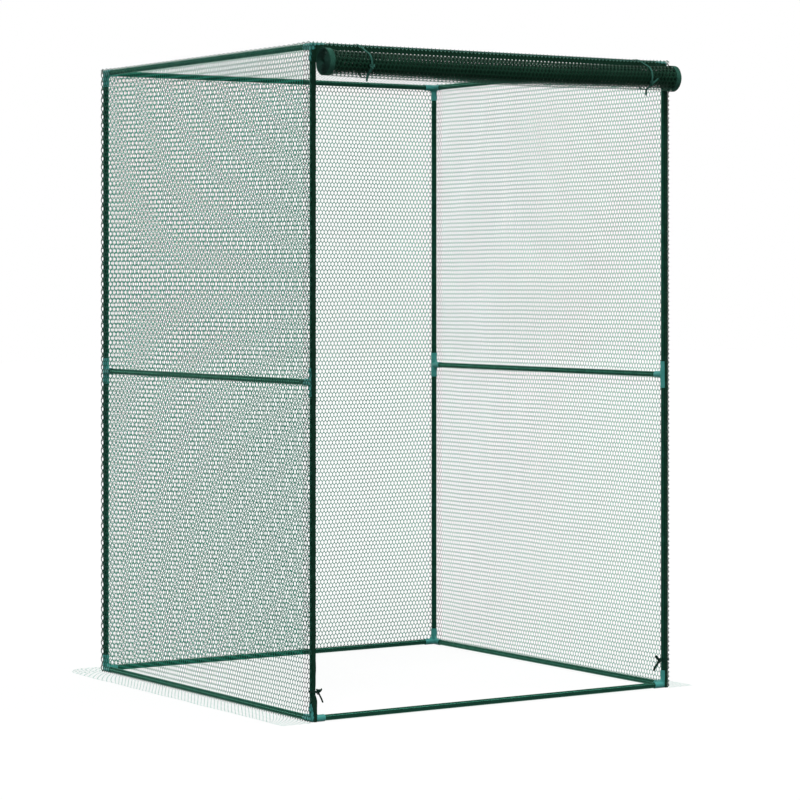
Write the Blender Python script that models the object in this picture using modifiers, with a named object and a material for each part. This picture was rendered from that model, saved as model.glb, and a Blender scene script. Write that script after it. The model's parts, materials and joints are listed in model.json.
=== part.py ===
"""Crop cage: green tubes in moulded connectors, a net cover and a net door rolled up at the front.

Metres, +Z up. The doorway faces -Y, and the origin is on the ground at the middle of the whole outline.
"""

import math

import bmesh
import bpy
from mathutils import Matrix, Vector

# Frame
FRAME_WIDTH = 1.200
FRAME_DEPTH = 1.200
FRAME_HEIGHT = 1.797
MID_RAIL_HEIGHT = 0.8985
TUBE_DIAMETER = 0.016
TUBE_WALL = 0.0008

# Connectors
SOCKET_GAP = 0.0003
SOCKET_WALL = 0.0012
CORE_WALL = 0.0025
CORNER_STEP = 0.0002
RAIL_SOCKET = 0.024
POST_SOCKET = 0.029
TEE_SOCKET = 0.035
TEE_STOP = 0.003
FILLET_RADIUS = 0.016
WEB_THICKNESS = 0.009
WEB_INSET = 0.0015

# Net cover
CLOTH = 0.001
SEAT_GAP = 0.0003
NET_STRAND = 0.006
NET_EDGE = 0.014
ZIGZAG_RISE = 0.32
WALL_COLUMNS = 6
WALL_ROWS = 8
ROOF_COLUMNS = 6
ROOF_ROWS = 6
POST_HEM_WIDTH = 0.0175
HEADER_HEIGHT = 0.027
SKIRT_WIDTH = 0.0865
SKIRT_EDGE = 0.009
SKIRT_COLUMNS = 8

# Rolled door
DOOR_SIDE_GAP = 0.012
DOOR_TAPE_WIDTH = 0.016
ROLL_RADIUS = 0.0375
ROLL_CORE_RADIUS = 0.006
ROLL_TURNS = 6
ROLL_DROP = 0.0435
LEAD_SEAM = 0.0025
LEAD_COLUMNS = 8
LEAD_EDGE = 0.008

# Straps round the roll, and ties round the feet of the front posts
STRAP_WIDTH = 0.005
STRAP_THICKNESS = 0.0008
STRAP_INSET_LEFT = 0.130
STRAP_INSET_RIGHT = 0.105
STRAP_DIP = 0.004
TIE_KNOT_Y = -0.002
KNOT_LENGTH = 0.008
KNOT_WIDTH = 0.007
KNOT_DEPTH = 0.006
KNOT_ANGLE = math.radians(196)
LONG_TAIL = 0.038
TAIL_LEAN = 0.29
SHORT_TAIL = 0.017
SHORT_TAIL_RISE = 0.6
TIE_TAIL = 0.018
TIE_TAIL_FALL = 0.028
TIE_HEIGHT_LEFT = 0.083
TIE_HEIGHT_RIGHT = 0.077

# Facets
TUBE_FACETS = 16
FILLET_STEPS = 4
ROLL_STEPS = 12
STRAP_STEP = math.radians(20)
CORNER_STEPS = 4
KNOT_FACETS = 8
KNOT_RINGS = 6
STRAP_START = math.radians(105)
SMOOTH_ANGLE = math.radians(40)
WELD = 0.00002
SNAP_DIGITS = 7

TUBE_RADIUS = TUBE_DIAMETER / 2
BORE_RADIUS = TUBE_RADIUS + SOCKET_GAP
CONNECTOR_RADIUS = BORE_RADIUS + SOCKET_WALL
SOCKET_STOP = CONNECTOR_RADIUS + CORE_WALL
RAIL_ARM = SOCKET_STOP + RAIL_SOCKET
POST_ARM = SOCKET_STOP + POST_SOCKET
TEE_ARM = TEE_STOP + TEE_SOCKET

# Axes of the posts and rails
POST_X = FRAME_WIDTH / 2 - CONNECTOR_RADIUS
POST_Y = FRAME_DEPTH / 2 - CONNECTOR_RADIUS
BOTTOM_Z = CONNECTOR_RADIUS
TOP_Z = FRAME_HEIGHT - CONNECTOR_RADIUS

# Faces of the cover, which lies just outside the connectors
COVER_X = FRAME_WIDTH / 2 + SEAT_GAP
COVER_Y = FRAME_DEPTH / 2 + SEAT_GAP
ROOF_Z = FRAME_HEIGHT + SEAT_GAP
WALL_FOOT = CLOTH + SEAT_GAP

# The door's lead hangs in front of the header, and the roll hangs on the lead
LEAD_BACK_Y = -(COVER_Y + CLOTH + SEAT_GAP)
ROLL_Y = LEAD_BACK_Y - ROLL_RADIUS
ROLL_Z = TOP_Z - ROLL_DROP
DOOR_HALF_WIDTH = FRAME_WIDTH / 2 - DOOR_SIDE_GAP
STRAP_RADIUS = ROLL_RADIUS + SEAT_GAP + STRAP_THICKNESS / 2
KNOT_CENTRE_RADIUS = ROLL_RADIUS + 2 * SEAT_GAP + KNOT_DEPTH / 2

# The base's middle lies halfway between the strap's knot in front and the skirt behind
FRONT_REACH = -ROLL_Y - KNOT_CENTRE_RADIUS * math.cos(KNOT_ANGLE) + KNOT_DEPTH / 2
BACK_REACH = COVER_Y + CLOTH + SEAT_GAP + SKIRT_WIDTH
BASE_SHIFT = (FRONT_REACH - BACK_REACH) / 2

CORNERS = (
    ("front_left", -1, -1),
    ("front_right", 1, -1),
    ("back_left", -1, 1),
    ("back_right", 1, 1),
)

ALONG_X = (0, math.pi / 2, 0)
ALONG_Y = (-math.pi / 2, 0, 0)
FACING_X = (math.pi / 2, 0, math.pi / 2)
FACING_Y = (math.pi / 2, 0, 0)


def clear_scene():
    for old in list(bpy.data.objects):
        bpy.data.objects.remove(old, do_unlink=True)


def new_collection(name):
    collection = bpy.data.collections.new(name)
    bpy.context.scene.collection.children.link(collection)
    return collection


def new_material(name, colour, roughness, metallic=0.0):
    material = bpy.data.materials.new(name)
    material.use_nodes = True
    shader = material.node_tree.nodes["Principled BSDF"]
    shader.inputs["Base Color"].default_value = (*colour, 1.0)
    shader.inputs["Roughness"].default_value = roughness
    shader.inputs["Metallic"].default_value = metallic
    material.diffuse_color = (*colour, 1.0)
    return material


class Cage:
    """The collections, the materials and the parent that all pieces share."""

    def __init__(self):
        self.parts = new_collection("crop_cage")
        self.cutters = new_collection("shaping_solids")
        self.base = bpy.data.objects.new("cage_base", None)
        self.base.location = (0, BASE_SHIFT, 0)
        self.parts.objects.link(self.base)
        self.coated_tube = new_material("coated_tube", (0.014, 0.062, 0.042), 0.32, 0.0)
        self.connector_plastic = new_material("connector_plastic", (0.050, 0.240, 0.215), 0.45)
        self.net_plastic = new_material("net_plastic", (0.020, 0.100, 0.070), 0.55)
        self.hem_tape = new_material("hem_tape", (0.014, 0.060, 0.042), 0.80)
        self.door_tape = new_material("door_tape", (0.045, 0.190, 0.150), 0.75)
        self.tie_tape = new_material("tie_tape", (0.020, 0.085, 0.062), 0.80)

    def add(self, name, data, material, location=(0, 0, 0), rotation=(0, 0, 0)):
        piece = bpy.data.objects.new(name, data)
        piece.location = location
        piece.rotation_euler = rotation
        piece.parent = self.base
        if material.name not in data.materials:
            data.materials.append(material)
        self.parts.objects.link(piece)
        return piece

    def add_shaping(self, name, data):
        solid = bpy.data.objects.new(name, data)
        solid.hide_render = True
        solid.display_type = "WIRE"
        self.cutters.objects.link(solid)
        return solid


def flats(radius):
    """The corner radius of a faceted round whose flats lie at the given radius."""
    return radius / math.cos(math.pi / TUBE_FACETS)


def snap(bm):
    """Puts points that should share a plane exactly on it."""
    for vert in bm.verts:
        vert.co = [round(value, SNAP_DIGITS) for value in vert.co]


def mesh_of(bm, name):
    snap(bm)
    bmesh.ops.recalc_face_normals(bm, faces=bm.faces[:])
    mesh = bpy.data.meshes.new(name)
    bm.to_mesh(mesh)
    bm.free()
    return mesh


def smooth(mesh):
    mesh.shade_smooth()
    mesh.set_sharp_from_angle(angle=SMOOTH_ANGLE)
    return mesh


def box_mesh(name, low, high):
    """A box between two corners, with its place in the mesh."""
    low, high = Vector(low), Vector(high)
    bm = bmesh.new()
    bmesh.ops.create_cube(bm, size=1)
    bmesh.ops.scale(bm, vec=high - low, verts=bm.verts[:])
    bmesh.ops.translate(bm, vec=(low + high) / 2, verts=bm.verts[:])
    return mesh_of(bm, name)


def rod_mesh(name, radius, start, end, turn):
    """A faceted rod from start to end along its own Z axis, turned by a matrix."""
    bm = bmesh.new()
    half_facet = Matrix.Rotation(math.pi / TUBE_FACETS, 4, "Z")
    middle = Matrix.Translation((0, 0, (start + end) / 2))
    bmesh.ops.create_cone(
        bm,
        cap_ends=True,
        segments=TUBE_FACETS,
        radius1=flats(radius),
        radius2=flats(radius),
        depth=end - start,
        matrix=turn @ middle @ half_facet,
    )
    return mesh_of(bm, name)


def turned_ring(name, inner, outer, low, high):
    """A hollow round turned about Z: its wall's section, with a Screw modifier."""
    angle = math.pi / TUBE_FACETS
    section = ((outer, high), (outer, low), (inner, low), (inner, high))
    bm = bmesh.new()
    verts = [
        bm.verts.new((flats(r) * math.cos(angle), flats(r) * math.sin(angle), z)) for r, z in section
    ]
    for i, vert in enumerate(verts):
        bm.edges.new((vert, verts[(i + 1) % len(verts)]))
    mesh = bpy.data.meshes.new(name)
    bm.to_mesh(mesh)
    bm.free()
    return mesh


def add_screw(piece):
    screw = piece.modifiers.new("turn", "SCREW")
    screw.axis = "Z"
    screw.angle = 2 * math.pi
    screw.steps = TUBE_FACETS
    screw.render_steps = TUBE_FACETS
    screw.use_merge_vertices = True
    screw.merge_threshold = WELD
    screw.use_smooth_shade = True
    return piece


def outline_curve(name, outline, thickness, holes=()):
    """A flat outline with holes, in its own XY plane, half its thickness to each side."""
    curve = bpy.data.curves.new(name, "CURVE")
    curve.dimensions = "2D"
    curve.fill_mode = "BOTH"
    curve.extrude = thickness / 2
    for loop in (outline, *holes):
        spline = curve.splines.new("POLY")
        spline.points.add(len(loop) - 1)
        for point, (x, y) in zip(spline.points, loop):
            point.co = (x, y, 0, 1)
        spline.use_cyclic_u = True
    return curve


def rectangle(low_x, high_x, low_y, high_y):
    return [(low_x, low_y), (high_x, low_y), (high_x, high_y), (low_x, high_y)]


def arc(centre_x, centre_y, radius, start, end, steps):
    """Points along an arc, both ends included."""
    angles = [start + (end - start) * i / steps for i in range(steps + 1)]
    return [(centre_x + radius * math.cos(a), centre_y + radius * math.sin(a)) for a in angles]


def edge_gaps(low_x, high_x, base_y, columns, staggered, height, slope):
    """The three-sided gaps between a net's edge band and its first zigzag."""
    pitch_x = (high_x - low_x) / columns
    half_base = abs(height) / slope
    gaps = []
    for i in range(columns + 1 - staggered):
        middle_x = low_x + (i + staggered / 2) * pitch_x
        left = max(middle_x - half_base, low_x)
        right = min(middle_x + half_base, high_x)
        gaps.append([(left, base_y), (middle_x, base_y + height), (right, base_y)])
    return gaps


def net_gaps(low_x, high_x, low_y, high_y, columns, rows, edges):
    """The gaps of a staggered net of six-sided cells that fills a rectangle."""
    pitch_x = (high_x - low_x) / columns
    rise = min(ZIGZAG_RISE * pitch_x, ZIGZAG_RISE * (high_y - low_y) / rows)
    pitch_y = (high_y - low_y - rise) / rows
    slope = rise / (pitch_x / 2)
    slanted = NET_STRAND / 2 * math.sqrt(1 + slope * slope)
    side_x = pitch_x / 2 - NET_STRAND / 2
    apex_y = pitch_y / 2 + rise / 2 - slanted
    side_y = apex_y - slope * side_x
    gaps = []
    if edges:
        gaps += edge_gaps(low_x, high_x, low_y, columns, 1, rise - slanted, slope)
        gaps += edge_gaps(low_x, high_x, high_y, columns, rows % 2, slanted - rise, slope)
    for row in range(rows):
        middle_y = low_y + rise / 2 + (row + 0.5) * pitch_y
        staggered = (row + 1) % 2
        for column in range(columns + staggered):
            middle_x = low_x + (column + 0.5 - staggered / 2) * pitch_x
            gap = [(0, apex_y)]
            if column > 0 or not staggered:
                gap += [(-side_x, side_y), (-side_x, -side_y)]
            gap += [(0, -apex_y)]
            if column < columns or not staggered:
                gap += [(side_x, -side_y), (side_x, side_y)]
            gaps.append([(middle_x + x, middle_y + y) for x, y in gap])
    return gaps


def net_sheet(name, outline, field, columns, rows, edge=NET_EDGE):
    """A sheet of net: an outline, and gaps over a field inside an edge band."""
    low_x, high_x, low_y, high_y = field
    inside = (low_x + edge, high_x - edge, low_y + edge, high_y - edge)
    return outline_curve(name, outline, CLOTH, net_gaps(*inside, columns, rows, rows > 1))


def shaped(cage, name, base_mesh, joins, cuts):
    """One closed mesh: a base with solids joined to it and then cut from it."""
    body = cage.add_shaping(name, base_mesh)
    helpers = []
    for operation, meshes in (("UNION", joins), ("DIFFERENCE", cuts)):
        for mesh in meshes:
            helper = cage.add_shaping(mesh.name, mesh)
            helpers.append(helper)
            boolean = body.modifiers.new(mesh.name, "BOOLEAN")
            boolean.operation = operation
            boolean.solver = "EXACT"
            boolean.object = helper
    bpy.context.view_layer.update()
    result = bpy.data.meshes.new_from_object(
        body.evaluated_get(bpy.context.evaluated_depsgraph_get())
    )
    result.name = name
    for helper in (body, *helpers):
        bpy.data.objects.remove(helper, do_unlink=True)
    bm = bmesh.new()
    bm.from_mesh(result)
    bmesh.ops.remove_doubles(bm, verts=bm.verts[:], dist=WELD)
    bm.to_mesh(result)
    bm.free()
    return result


def web_mesh(name, reach_u, reach_v, turn):
    """The web in the corner between two arms, its free edge one hollow arc."""
    edge = CONNECTOR_RADIUS - WEB_INSET
    room = min(reach_u, reach_v) - edge - WEB_INSET
    radius = min(FILLET_RADIUS, room)
    outline = [(0, 0), (edge + radius, 0)]
    outline += arc(edge + radius, edge + radius, radius, -math.pi / 2, -math.pi, FILLET_STEPS)
    outline += [(0, edge + radius)]
    curve = outline_curve(name, outline, WEB_THICKNESS)
    holder = bpy.data.objects.new(name, curve)
    bpy.context.scene.collection.objects.link(holder)
    bpy.context.view_layer.update()
    mesh = bpy.data.meshes.new_from_object(
        holder.evaluated_get(bpy.context.evaluated_depsgraph_get())
    )
    bpy.data.objects.remove(holder, do_unlink=True)
    bm = bmesh.new()
    bm.from_mesh(mesh)
    bmesh.ops.remove_doubles(bm, verts=bm.verts[:], dist=WELD)
    bmesh.ops.transform(bm, matrix=turn, verts=bm.verts[:])
    bpy.data.meshes.remove(mesh)
    return mesh_of(bm, name)


def corner_connector(cage):
    """A three-way connector: arms along +X, +Y and +Z, sockets, webs and a round outer corner."""
    to_x = Matrix.Rotation(math.pi / 2, 4, "Y")
    to_y = Matrix.Rotation(-math.pi / 2, 4, "X")
    upright = Matrix.Identity(4)
    stand_x = Matrix.Rotation(math.pi / 2, 4, "X")
    stand_y = Matrix.Rotation(math.pi / 2, 4, "Z") @ Matrix.Rotation(math.pi / 2, 4, "X")
    bm = bmesh.new()
    bmesh.ops.create_uvsphere(
        bm,
        u_segments=TUBE_FACETS,
        v_segments=TUBE_FACETS // 2,
        radius=CONNECTOR_RADIUS - CORNER_STEP,
        matrix=Matrix.Rotation(math.pi / TUBE_FACETS, 4, "Z"),
    )
    ball = mesh_of(bm, "corner_ball")
    joins = [
        rod_mesh("arm_x", CONNECTOR_RADIUS, -CORNER_STEP, RAIL_ARM, to_x),
        rod_mesh("arm_y", CONNECTOR_RADIUS, -CORNER_STEP, RAIL_ARM, to_y),
        ball,
        web_mesh("web_xy", RAIL_ARM, RAIL_ARM, upright),
        web_mesh("web_xz", RAIL_ARM, POST_ARM, stand_x),
        web_mesh("web_yz", RAIL_ARM, POST_ARM, stand_y),
    ]
    cuts = [
        rod_mesh("bore_x", BORE_RADIUS, SOCKET_STOP, RAIL_ARM + SOCKET_WALL, to_x),
        rod_mesh("bore_y", BORE_RADIUS, SOCKET_STOP, RAIL_ARM + SOCKET_WALL, to_y),
        rod_mesh("bore_z", BORE_RADIUS, SOCKET_STOP, POST_ARM + SOCKET_WALL, upright),
    ]
    post_arm = rod_mesh("arm_z", CONNECTOR_RADIUS, -CORNER_STEP, POST_ARM, upright)
    return smooth(shaped(cage, "corner_connector", post_arm, joins, cuts))


def tee_connector(cage):
    """A tee: a sleeve for two post tubes, a branch along +Y and a web above and below it."""
    to_y = Matrix.Rotation(-math.pi / 2, 4, "X")
    upright = Matrix.Identity(4)
    upper = Matrix.Rotation(math.pi / 2, 4, "Z") @ Matrix.Rotation(math.pi / 2, 4, "X")
    lower = Matrix.Rotation(math.pi, 4, "Y") @ upper
    joins = [
        rod_mesh("branch", CONNECTOR_RADIUS, 0, RAIL_ARM, to_y),
        web_mesh("web_upper", RAIL_ARM, TEE_ARM, upper),
        web_mesh("web_lower", RAIL_ARM, TEE_ARM, lower),
    ]
    cuts = [
        rod_mesh("bore_up", BORE_RADIUS, TEE_STOP, TEE_ARM + SOCKET_WALL, upright),
        rod_mesh("bore_down", BORE_RADIUS, -TEE_ARM - SOCKET_WALL, -TEE_STOP, upright),
        rod_mesh("bore_branch", BORE_RADIUS, SOCKET_STOP, RAIL_ARM + SOCKET_WALL, to_y),
    ]
    sleeve = rod_mesh("sleeve", CONNECTOR_RADIUS, -TEE_ARM, TEE_ARM, upright)
    return smooth(shaped(cage, "tee_connector", sleeve, joins, cuts))


def corner_turn(sign_x, sign_y, sign_z):
    """The turn that sends a corner connector's arms along the three signed axes."""
    if sign_x * sign_y * sign_z > 0:
        columns = ((sign_x, 0, 0), (0, sign_y, 0), (0, 0, sign_z))
    else:
        columns = ((0, sign_y, 0), (sign_x, 0, 0), (0, 0, sign_z))
    return Matrix(columns).transposed().to_euler()


def add_tube(cage, name, start, length, rotation=(0, 0, 0)):
    """A round tube of the frame, from its start along its turned Z axis."""
    mesh = turned_ring(name, TUBE_RADIUS - TUBE_WALL, TUBE_RADIUS, 0, length)
    return add_screw(cage.add(name, mesh, cage.coated_tube, start, rotation))


def make_posts(cage):
    tube_foot = BOTTOM_Z + SOCKET_STOP + SOCKET_GAP
    tube_head = TOP_Z - SOCKET_STOP - SOCKET_GAP
    tee_low = MID_RAIL_HEIGHT - TEE_STOP - SOCKET_GAP
    tee_high = MID_RAIL_HEIGHT + TEE_STOP + SOCKET_GAP
    for corner, sign_x, sign_y in CORNERS:
        x, y = sign_x * POST_X, sign_y * POST_Y
        add_tube(cage, f"post_{corner}_lower", (x, y, tube_foot), tee_low - tube_foot)
        add_tube(cage, f"post_{corner}_upper", (x, y, tee_high), tube_head - tee_high)


def make_rails(cage):
    inset = SOCKET_STOP + SOCKET_GAP
    for level, z in (("bottom", BOTTOM_Z), ("top", TOP_Z)):
        for side, sign_y in (("front", -1), ("back", 1)):
            start = (-POST_X + inset, sign_y * POST_Y, z)
            add_tube(cage, f"{level}_rail_{side}", start, 2 * (POST_X - inset), ALONG_X)
    for level, z in (("bottom", BOTTOM_Z), ("mid", MID_RAIL_HEIGHT), ("top", TOP_Z)):
        for side, sign_x in (("left", -1), ("right", 1)):
            start = (sign_x * POST_X, -POST_Y + inset, z)
            add_tube(cage, f"{level}_rail_{side}", start, 2 * (POST_Y - inset), ALONG_Y)


def make_connectors(cage):
    corner_mesh = corner_connector(cage)
    tee_mesh = tee_connector(cage)
    for corner, sign_x, sign_y in CORNERS:
        x, y = sign_x * POST_X, sign_y * POST_Y
        for level, z, sign_z in (("bottom", BOTTOM_Z, 1), ("top", TOP_Z, -1)):
            name = f"corner_{level}_{corner}"
            turn = corner_turn(-sign_x, -sign_y, sign_z)
            cage.add(name, corner_mesh, cage.connector_plastic, (x, y, z), turn)
        tee_turn = (0, 0, 0 if sign_y < 0 else math.pi)
        cage.add(f"tee_{corner}", tee_mesh, cage.connector_plastic, (x, y, MID_RAIL_HEIGHT), tee_turn)


def make_walls(cage):
    """The net walls: the sides run between the front hem and the back wall."""
    half_depth = COVER_Y - SEAT_GAP
    field = (-half_depth, half_depth, WALL_FOOT, FRAME_HEIGHT)
    for side, sign_x in (("left", -1), ("right", 1)):
        data = net_sheet(f"{side}_net", rectangle(*field), field, WALL_COLUMNS, WALL_ROWS)
        cage.add(f"{side}_net", data, cage.net_plastic, (sign_x * (COVER_X + CLOTH / 2), 0, 0), FACING_X)
    half_width = COVER_X + CLOTH
    field = (-half_width, half_width, WALL_FOOT, FRAME_HEIGHT)
    data = net_sheet("back_net", rectangle(*field), field, WALL_COLUMNS, WALL_ROWS)
    cage.add("back_net", data, cage.net_plastic, (0, COVER_Y + CLOTH / 2, 0), FACING_Y)


def make_roof(cage):
    half_width, half_depth = COVER_X + CLOTH, COVER_Y + CLOTH
    field = (-half_width, half_width, -half_depth, half_depth)
    data = net_sheet("roof_net", rectangle(*field), field, ROOF_COLUMNS, ROOF_ROWS)
    cage.add("roof_net", data, cage.net_plastic, (0, 0, ROOF_Z + CLOTH / 2))


def make_hems(cage):
    """The bands at the cover's front edges: one down each front post, one along the top rail."""
    outer_x, outer_y = COVER_X + CLOTH, COVER_Y + CLOTH
    header_foot = FRAME_HEIGHT - HEADER_HEIGHT
    header = box_mesh("header", (-outer_x, -outer_y, header_foot), (outer_x, -COVER_Y, FRAME_HEIGHT))
    cage.add("front_header_hem", header, cage.hem_tape)
    for side, sign_x in (("left", -1), ("right", 1)):
        edges = sorted((sign_x * outer_x, sign_x * (outer_x - POST_HEM_WIDTH)))
        low = (edges[0], -outer_y, WALL_FOOT)
        high = (edges[1], -COVER_Y, header_foot - SEAT_GAP)
        cage.add(f"post_hem_{side}", box_mesh(f"post_hem_{side}", low, high), cage.hem_tape)


def make_skirts(cage):
    """The net that lies flat on the ground outside the side and back walls, round at the back corners."""
    near_x = COVER_X + CLOTH + SEAT_GAP
    near_y = COVER_Y + CLOTH + SEAT_GAP
    half_side = COVER_Y + CLOTH
    height = CLOTH / 2
    field = (-half_side, half_side, 0, SKIRT_WIDTH)
    for side, sign_x in (("left", -1), ("right", 1)):
        data = net_sheet(f"skirt_{side}", rectangle(*field), field, SKIRT_COLUMNS, 1, SKIRT_EDGE)
        turn = (0, 0, -sign_x * math.pi / 2)
        cage.add(f"skirt_{side}", data, cage.net_plastic, (sign_x * near_x, 0, height), turn)
    outline = arc(near_x, 0, SKIRT_WIDTH, 0, math.pi / 2, CORNER_STEPS)
    outline += arc(-near_x, 0, SKIRT_WIDTH, math.pi / 2, math.pi, CORNER_STEPS)
    field = (-near_x, near_x, 0, SKIRT_WIDTH)
    data = net_sheet("skirt_back", outline, field, SKIRT_COLUMNS, 1, SKIRT_EDGE)
    cage.add("skirt_back", data, cage.net_plastic, (0, near_y, height))


def spiral_line():
    """The middle of the rolled sheet, from its outer end at the back, down and round to the core."""
    outer = ROLL_RADIUS - CLOTH / 2
    inner = ROLL_CORE_RADIUS + CLOTH / 2
    count = ROLL_TURNS * ROLL_STEPS
    line = []
    for i in range(count + 1):
        angle = -2 * math.pi * i / ROLL_STEPS
        radius = outer + (inner - outer) * i / count
        line.append((radius, angle))
    return line


def spiral_outline():
    """The rolled sheet's end face: out along its outer side and back along its inner side."""
    line = spiral_line()
    outside = [(r + CLOTH / 2, a) for r, a in line]
    inside = [(r - CLOTH / 2, a) for r, a in reversed(line)]
    return [(r * math.cos(a), r * math.sin(a)) for r, a in outside + inside]


def report_roll_gap():
    """Prints the least gap between neighbouring turns, measured on the sheet's own points."""
    points = [Vector((r * math.cos(a), r * math.sin(a))) for r, a in spiral_line()]
    least = math.inf
    for i in range(len(points) - ROLL_STEPS - 1):
        start, end = points[i + ROLL_STEPS], points[i + ROLL_STEPS + 1]
        along = end - start
        share = max(0.0, min(1.0, (points[i] - start).dot(along) / along.length_squared))
        least = min(least, (points[i] - start - share * along).length - CLOTH)
    print(f"least gap between the roll's turns: {least * 1000:.2f} mm")


def make_door(cage):
    """The rolled door: a net roll, the tape wound at each of its ends and the lead it hangs on."""
    roll_half = DOOR_HALF_WIDTH - DOOR_TAPE_WIDTH - SEAT_GAP
    end_face = spiral_outline()
    roll = outline_curve("door_roll", end_face, 2 * roll_half)
    cage.add("door_roll", roll, cage.net_plastic, (0, ROLL_Y, ROLL_Z), FACING_X)
    for side, sign_x in (("left", -1), ("right", 1)):
        tape = outline_curve(f"door_tape_{side}", end_face, DOOR_TAPE_WIDTH)
        x = sign_x * (DOOR_HALF_WIDTH - DOOR_TAPE_WIDTH / 2)
        cage.add(f"door_tape_{side}", tape, cage.door_tape, (x, ROLL_Y, ROLL_Z), FACING_X)
    lead_foot = ROLL_Z + SEAT_GAP
    lead_head = TOP_Z + LEAD_SEAM
    field = (-DOOR_HALF_WIDTH, DOOR_HALF_WIDTH, lead_foot, lead_head)
    lead = net_sheet("door_lead", rectangle(*field), field, LEAD_COLUMNS, 1, LEAD_EDGE)
    cage.add("door_lead", lead, cage.net_plastic, (0, LEAD_BACK_Y - CLOTH / 2, 0), FACING_Y)
    report_roll_gap()


def strip_mesh(name, points, across, closed):
    """A flat tape along a line of points, as wide as the across vector and centred on the line."""
    half = Vector(across) / 2
    bm = bmesh.new()
    verts = [bm.verts.new(Vector(point) - half) for point in points]
    following = verts[1:] + verts[:1] if closed else verts[1:]
    edges = [bm.edges.new(pair) for pair in zip(verts, following)]
    swept = bmesh.ops.extrude_edge_only(bm, edges=edges)["geom"]
    moved = [item for item in swept if isinstance(item, bmesh.types.BMVert)]
    bmesh.ops.translate(bm, vec=2 * half, verts=moved)
    mesh = bpy.data.meshes.new(name)
    bm.to_mesh(mesh)
    bm.free()
    return mesh


def solid_strip(name, points, across, closed=False):
    """The same tape with its thickness, as one closed mesh."""
    holder = bpy.data.objects.new(name, strip_mesh(name, points, across, closed))
    bpy.context.scene.collection.objects.link(holder)
    solidify = holder.modifiers.new("thickness", "SOLIDIFY")
    solidify.thickness = STRAP_THICKNESS
    solidify.offset = 0
    solidify.use_even_offset = True
    bpy.context.view_layer.update()
    mesh = bpy.data.meshes.new_from_object(
        holder.evaluated_get(bpy.context.evaluated_depsgraph_get())
    )
    bpy.data.objects.remove(holder, do_unlink=True)
    bm = bmesh.new()
    bm.from_mesh(mesh)
    bmesh.ops.recalc_face_normals(bm, faces=bm.faces[:])
    bm.to_mesh(mesh)
    bm.free()
    mesh.name = name
    return mesh


def knot_mesh(name, centre, size):
    bm = bmesh.new()
    bmesh.ops.create_uvsphere(bm, u_segments=KNOT_FACETS, v_segments=KNOT_RINGS, radius=0.5)
    bmesh.ops.scale(bm, vec=size, verts=bm.verts[:])
    bmesh.ops.translate(bm, vec=centre, verts=bm.verts[:])
    return mesh_of(bm, name)


def on_circle(centre, radius, angle):
    """A point at an angle from +Y towards +Z, on a circle about a line along X."""
    return Vector((centre[0], centre[1] + radius * math.cos(angle), centre[2] + radius * math.sin(angle)))


def arc_clear(centre, radius, start, end):
    """Points round a circle whose straight steps stay outside it."""
    steps = math.ceil((end - start) / STRAP_STEP)
    turn = (end - start) / steps
    reach = radius / math.cos(turn / 2)
    return [on_circle(centre, reach, start + turn * i) for i in range(steps + 1)]


def strap_route(x):
    """A loop over the roof's edge, round the roll's front and foot, and up behind the rail."""
    roll = (x, ROLL_Y, ROLL_Z)
    rail = (x, -POST_Y, TOP_Z)
    rail_radius = TUBE_RADIUS + SEAT_GAP + STRAP_THICKNESS / 2
    over_roof = ROOF_Z + CLOTH + SEAT_GAP + STRAP_THICKNESS / 2
    front_edge = -(COVER_Y + CLOTH) - SEAT_GAP - CLOTH - STRAP_THICKNESS
    span = Vector((-POST_Y - ROLL_Y, TOP_Z - ROLL_Z))
    lean = math.atan2(span.y, span.x) - math.acos((STRAP_RADIUS - rail_radius) / span.length)
    round_roll = arc_clear(roll, STRAP_RADIUS, STRAP_START, lean + 2 * math.pi)
    dip_y = (front_edge + round_roll[0].y) / 2
    dip_z = (over_roof + round_roll[0].z) / 2 - STRAP_DIP
    route = [Vector((x, front_edge, over_roof)), Vector((x, dip_y, dip_z))]
    route += round_roll + arc_clear(rail, rail_radius, lean, 0)
    return route + [Vector((x, route[-1].y, over_roof))]


def add_strap(cage, name, x):
    """A tape round the top rail and the roll, knotted in front, with a long and a short tail."""
    loop = solid_strip("strap_loop", strap_route(x), (STRAP_WIDTH, 0, 0), closed=True)
    centre = on_circle((x, ROLL_Y, ROLL_Z), KNOT_CENTRE_RADIUS, KNOT_ANGLE)
    knot = knot_mesh("strap_knot", centre, (KNOT_WIDTH, KNOT_DEPTH, KNOT_LENGTH))
    long_end = centre + Vector((-LONG_TAIL * TAIL_LEAN, 0, -LONG_TAIL))
    short_end = centre + Vector((SHORT_TAIL, 0, SHORT_TAIL * SHORT_TAIL_RISE))
    joins = [
        knot,
        solid_strip("strap_long_tail", [centre, long_end], (STRAP_WIDTH, 0, 0)),
        solid_strip("strap_short_tail", [centre, short_end], (0, 0, STRAP_WIDTH)),
    ]
    mesh = shaped(cage, name, loop, joins, [])
    cage.add(name, mesh, cage.tie_tape)


def tie_route():
    """A loop round a front post, the hem in front of it and the edge of the side net beside it."""
    gap = SEAT_GAP + STRAP_THICKNESS / 2
    outside = COVER_X + CLOTH + gap - POST_X
    inside = TUBE_RADIUS + gap
    hem_edge = COVER_X + CLOTH - POST_HEM_WIDTH - gap - POST_X
    route = [(outside, -outside), (hem_edge, -outside)]
    route += [(-y, z) for x, y, z in arc_clear((0, 0, 0), inside, 0, math.pi / 2)]
    return [Vector((x, y, 0)) for x, y in route + [(outside, inside)]]


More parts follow.
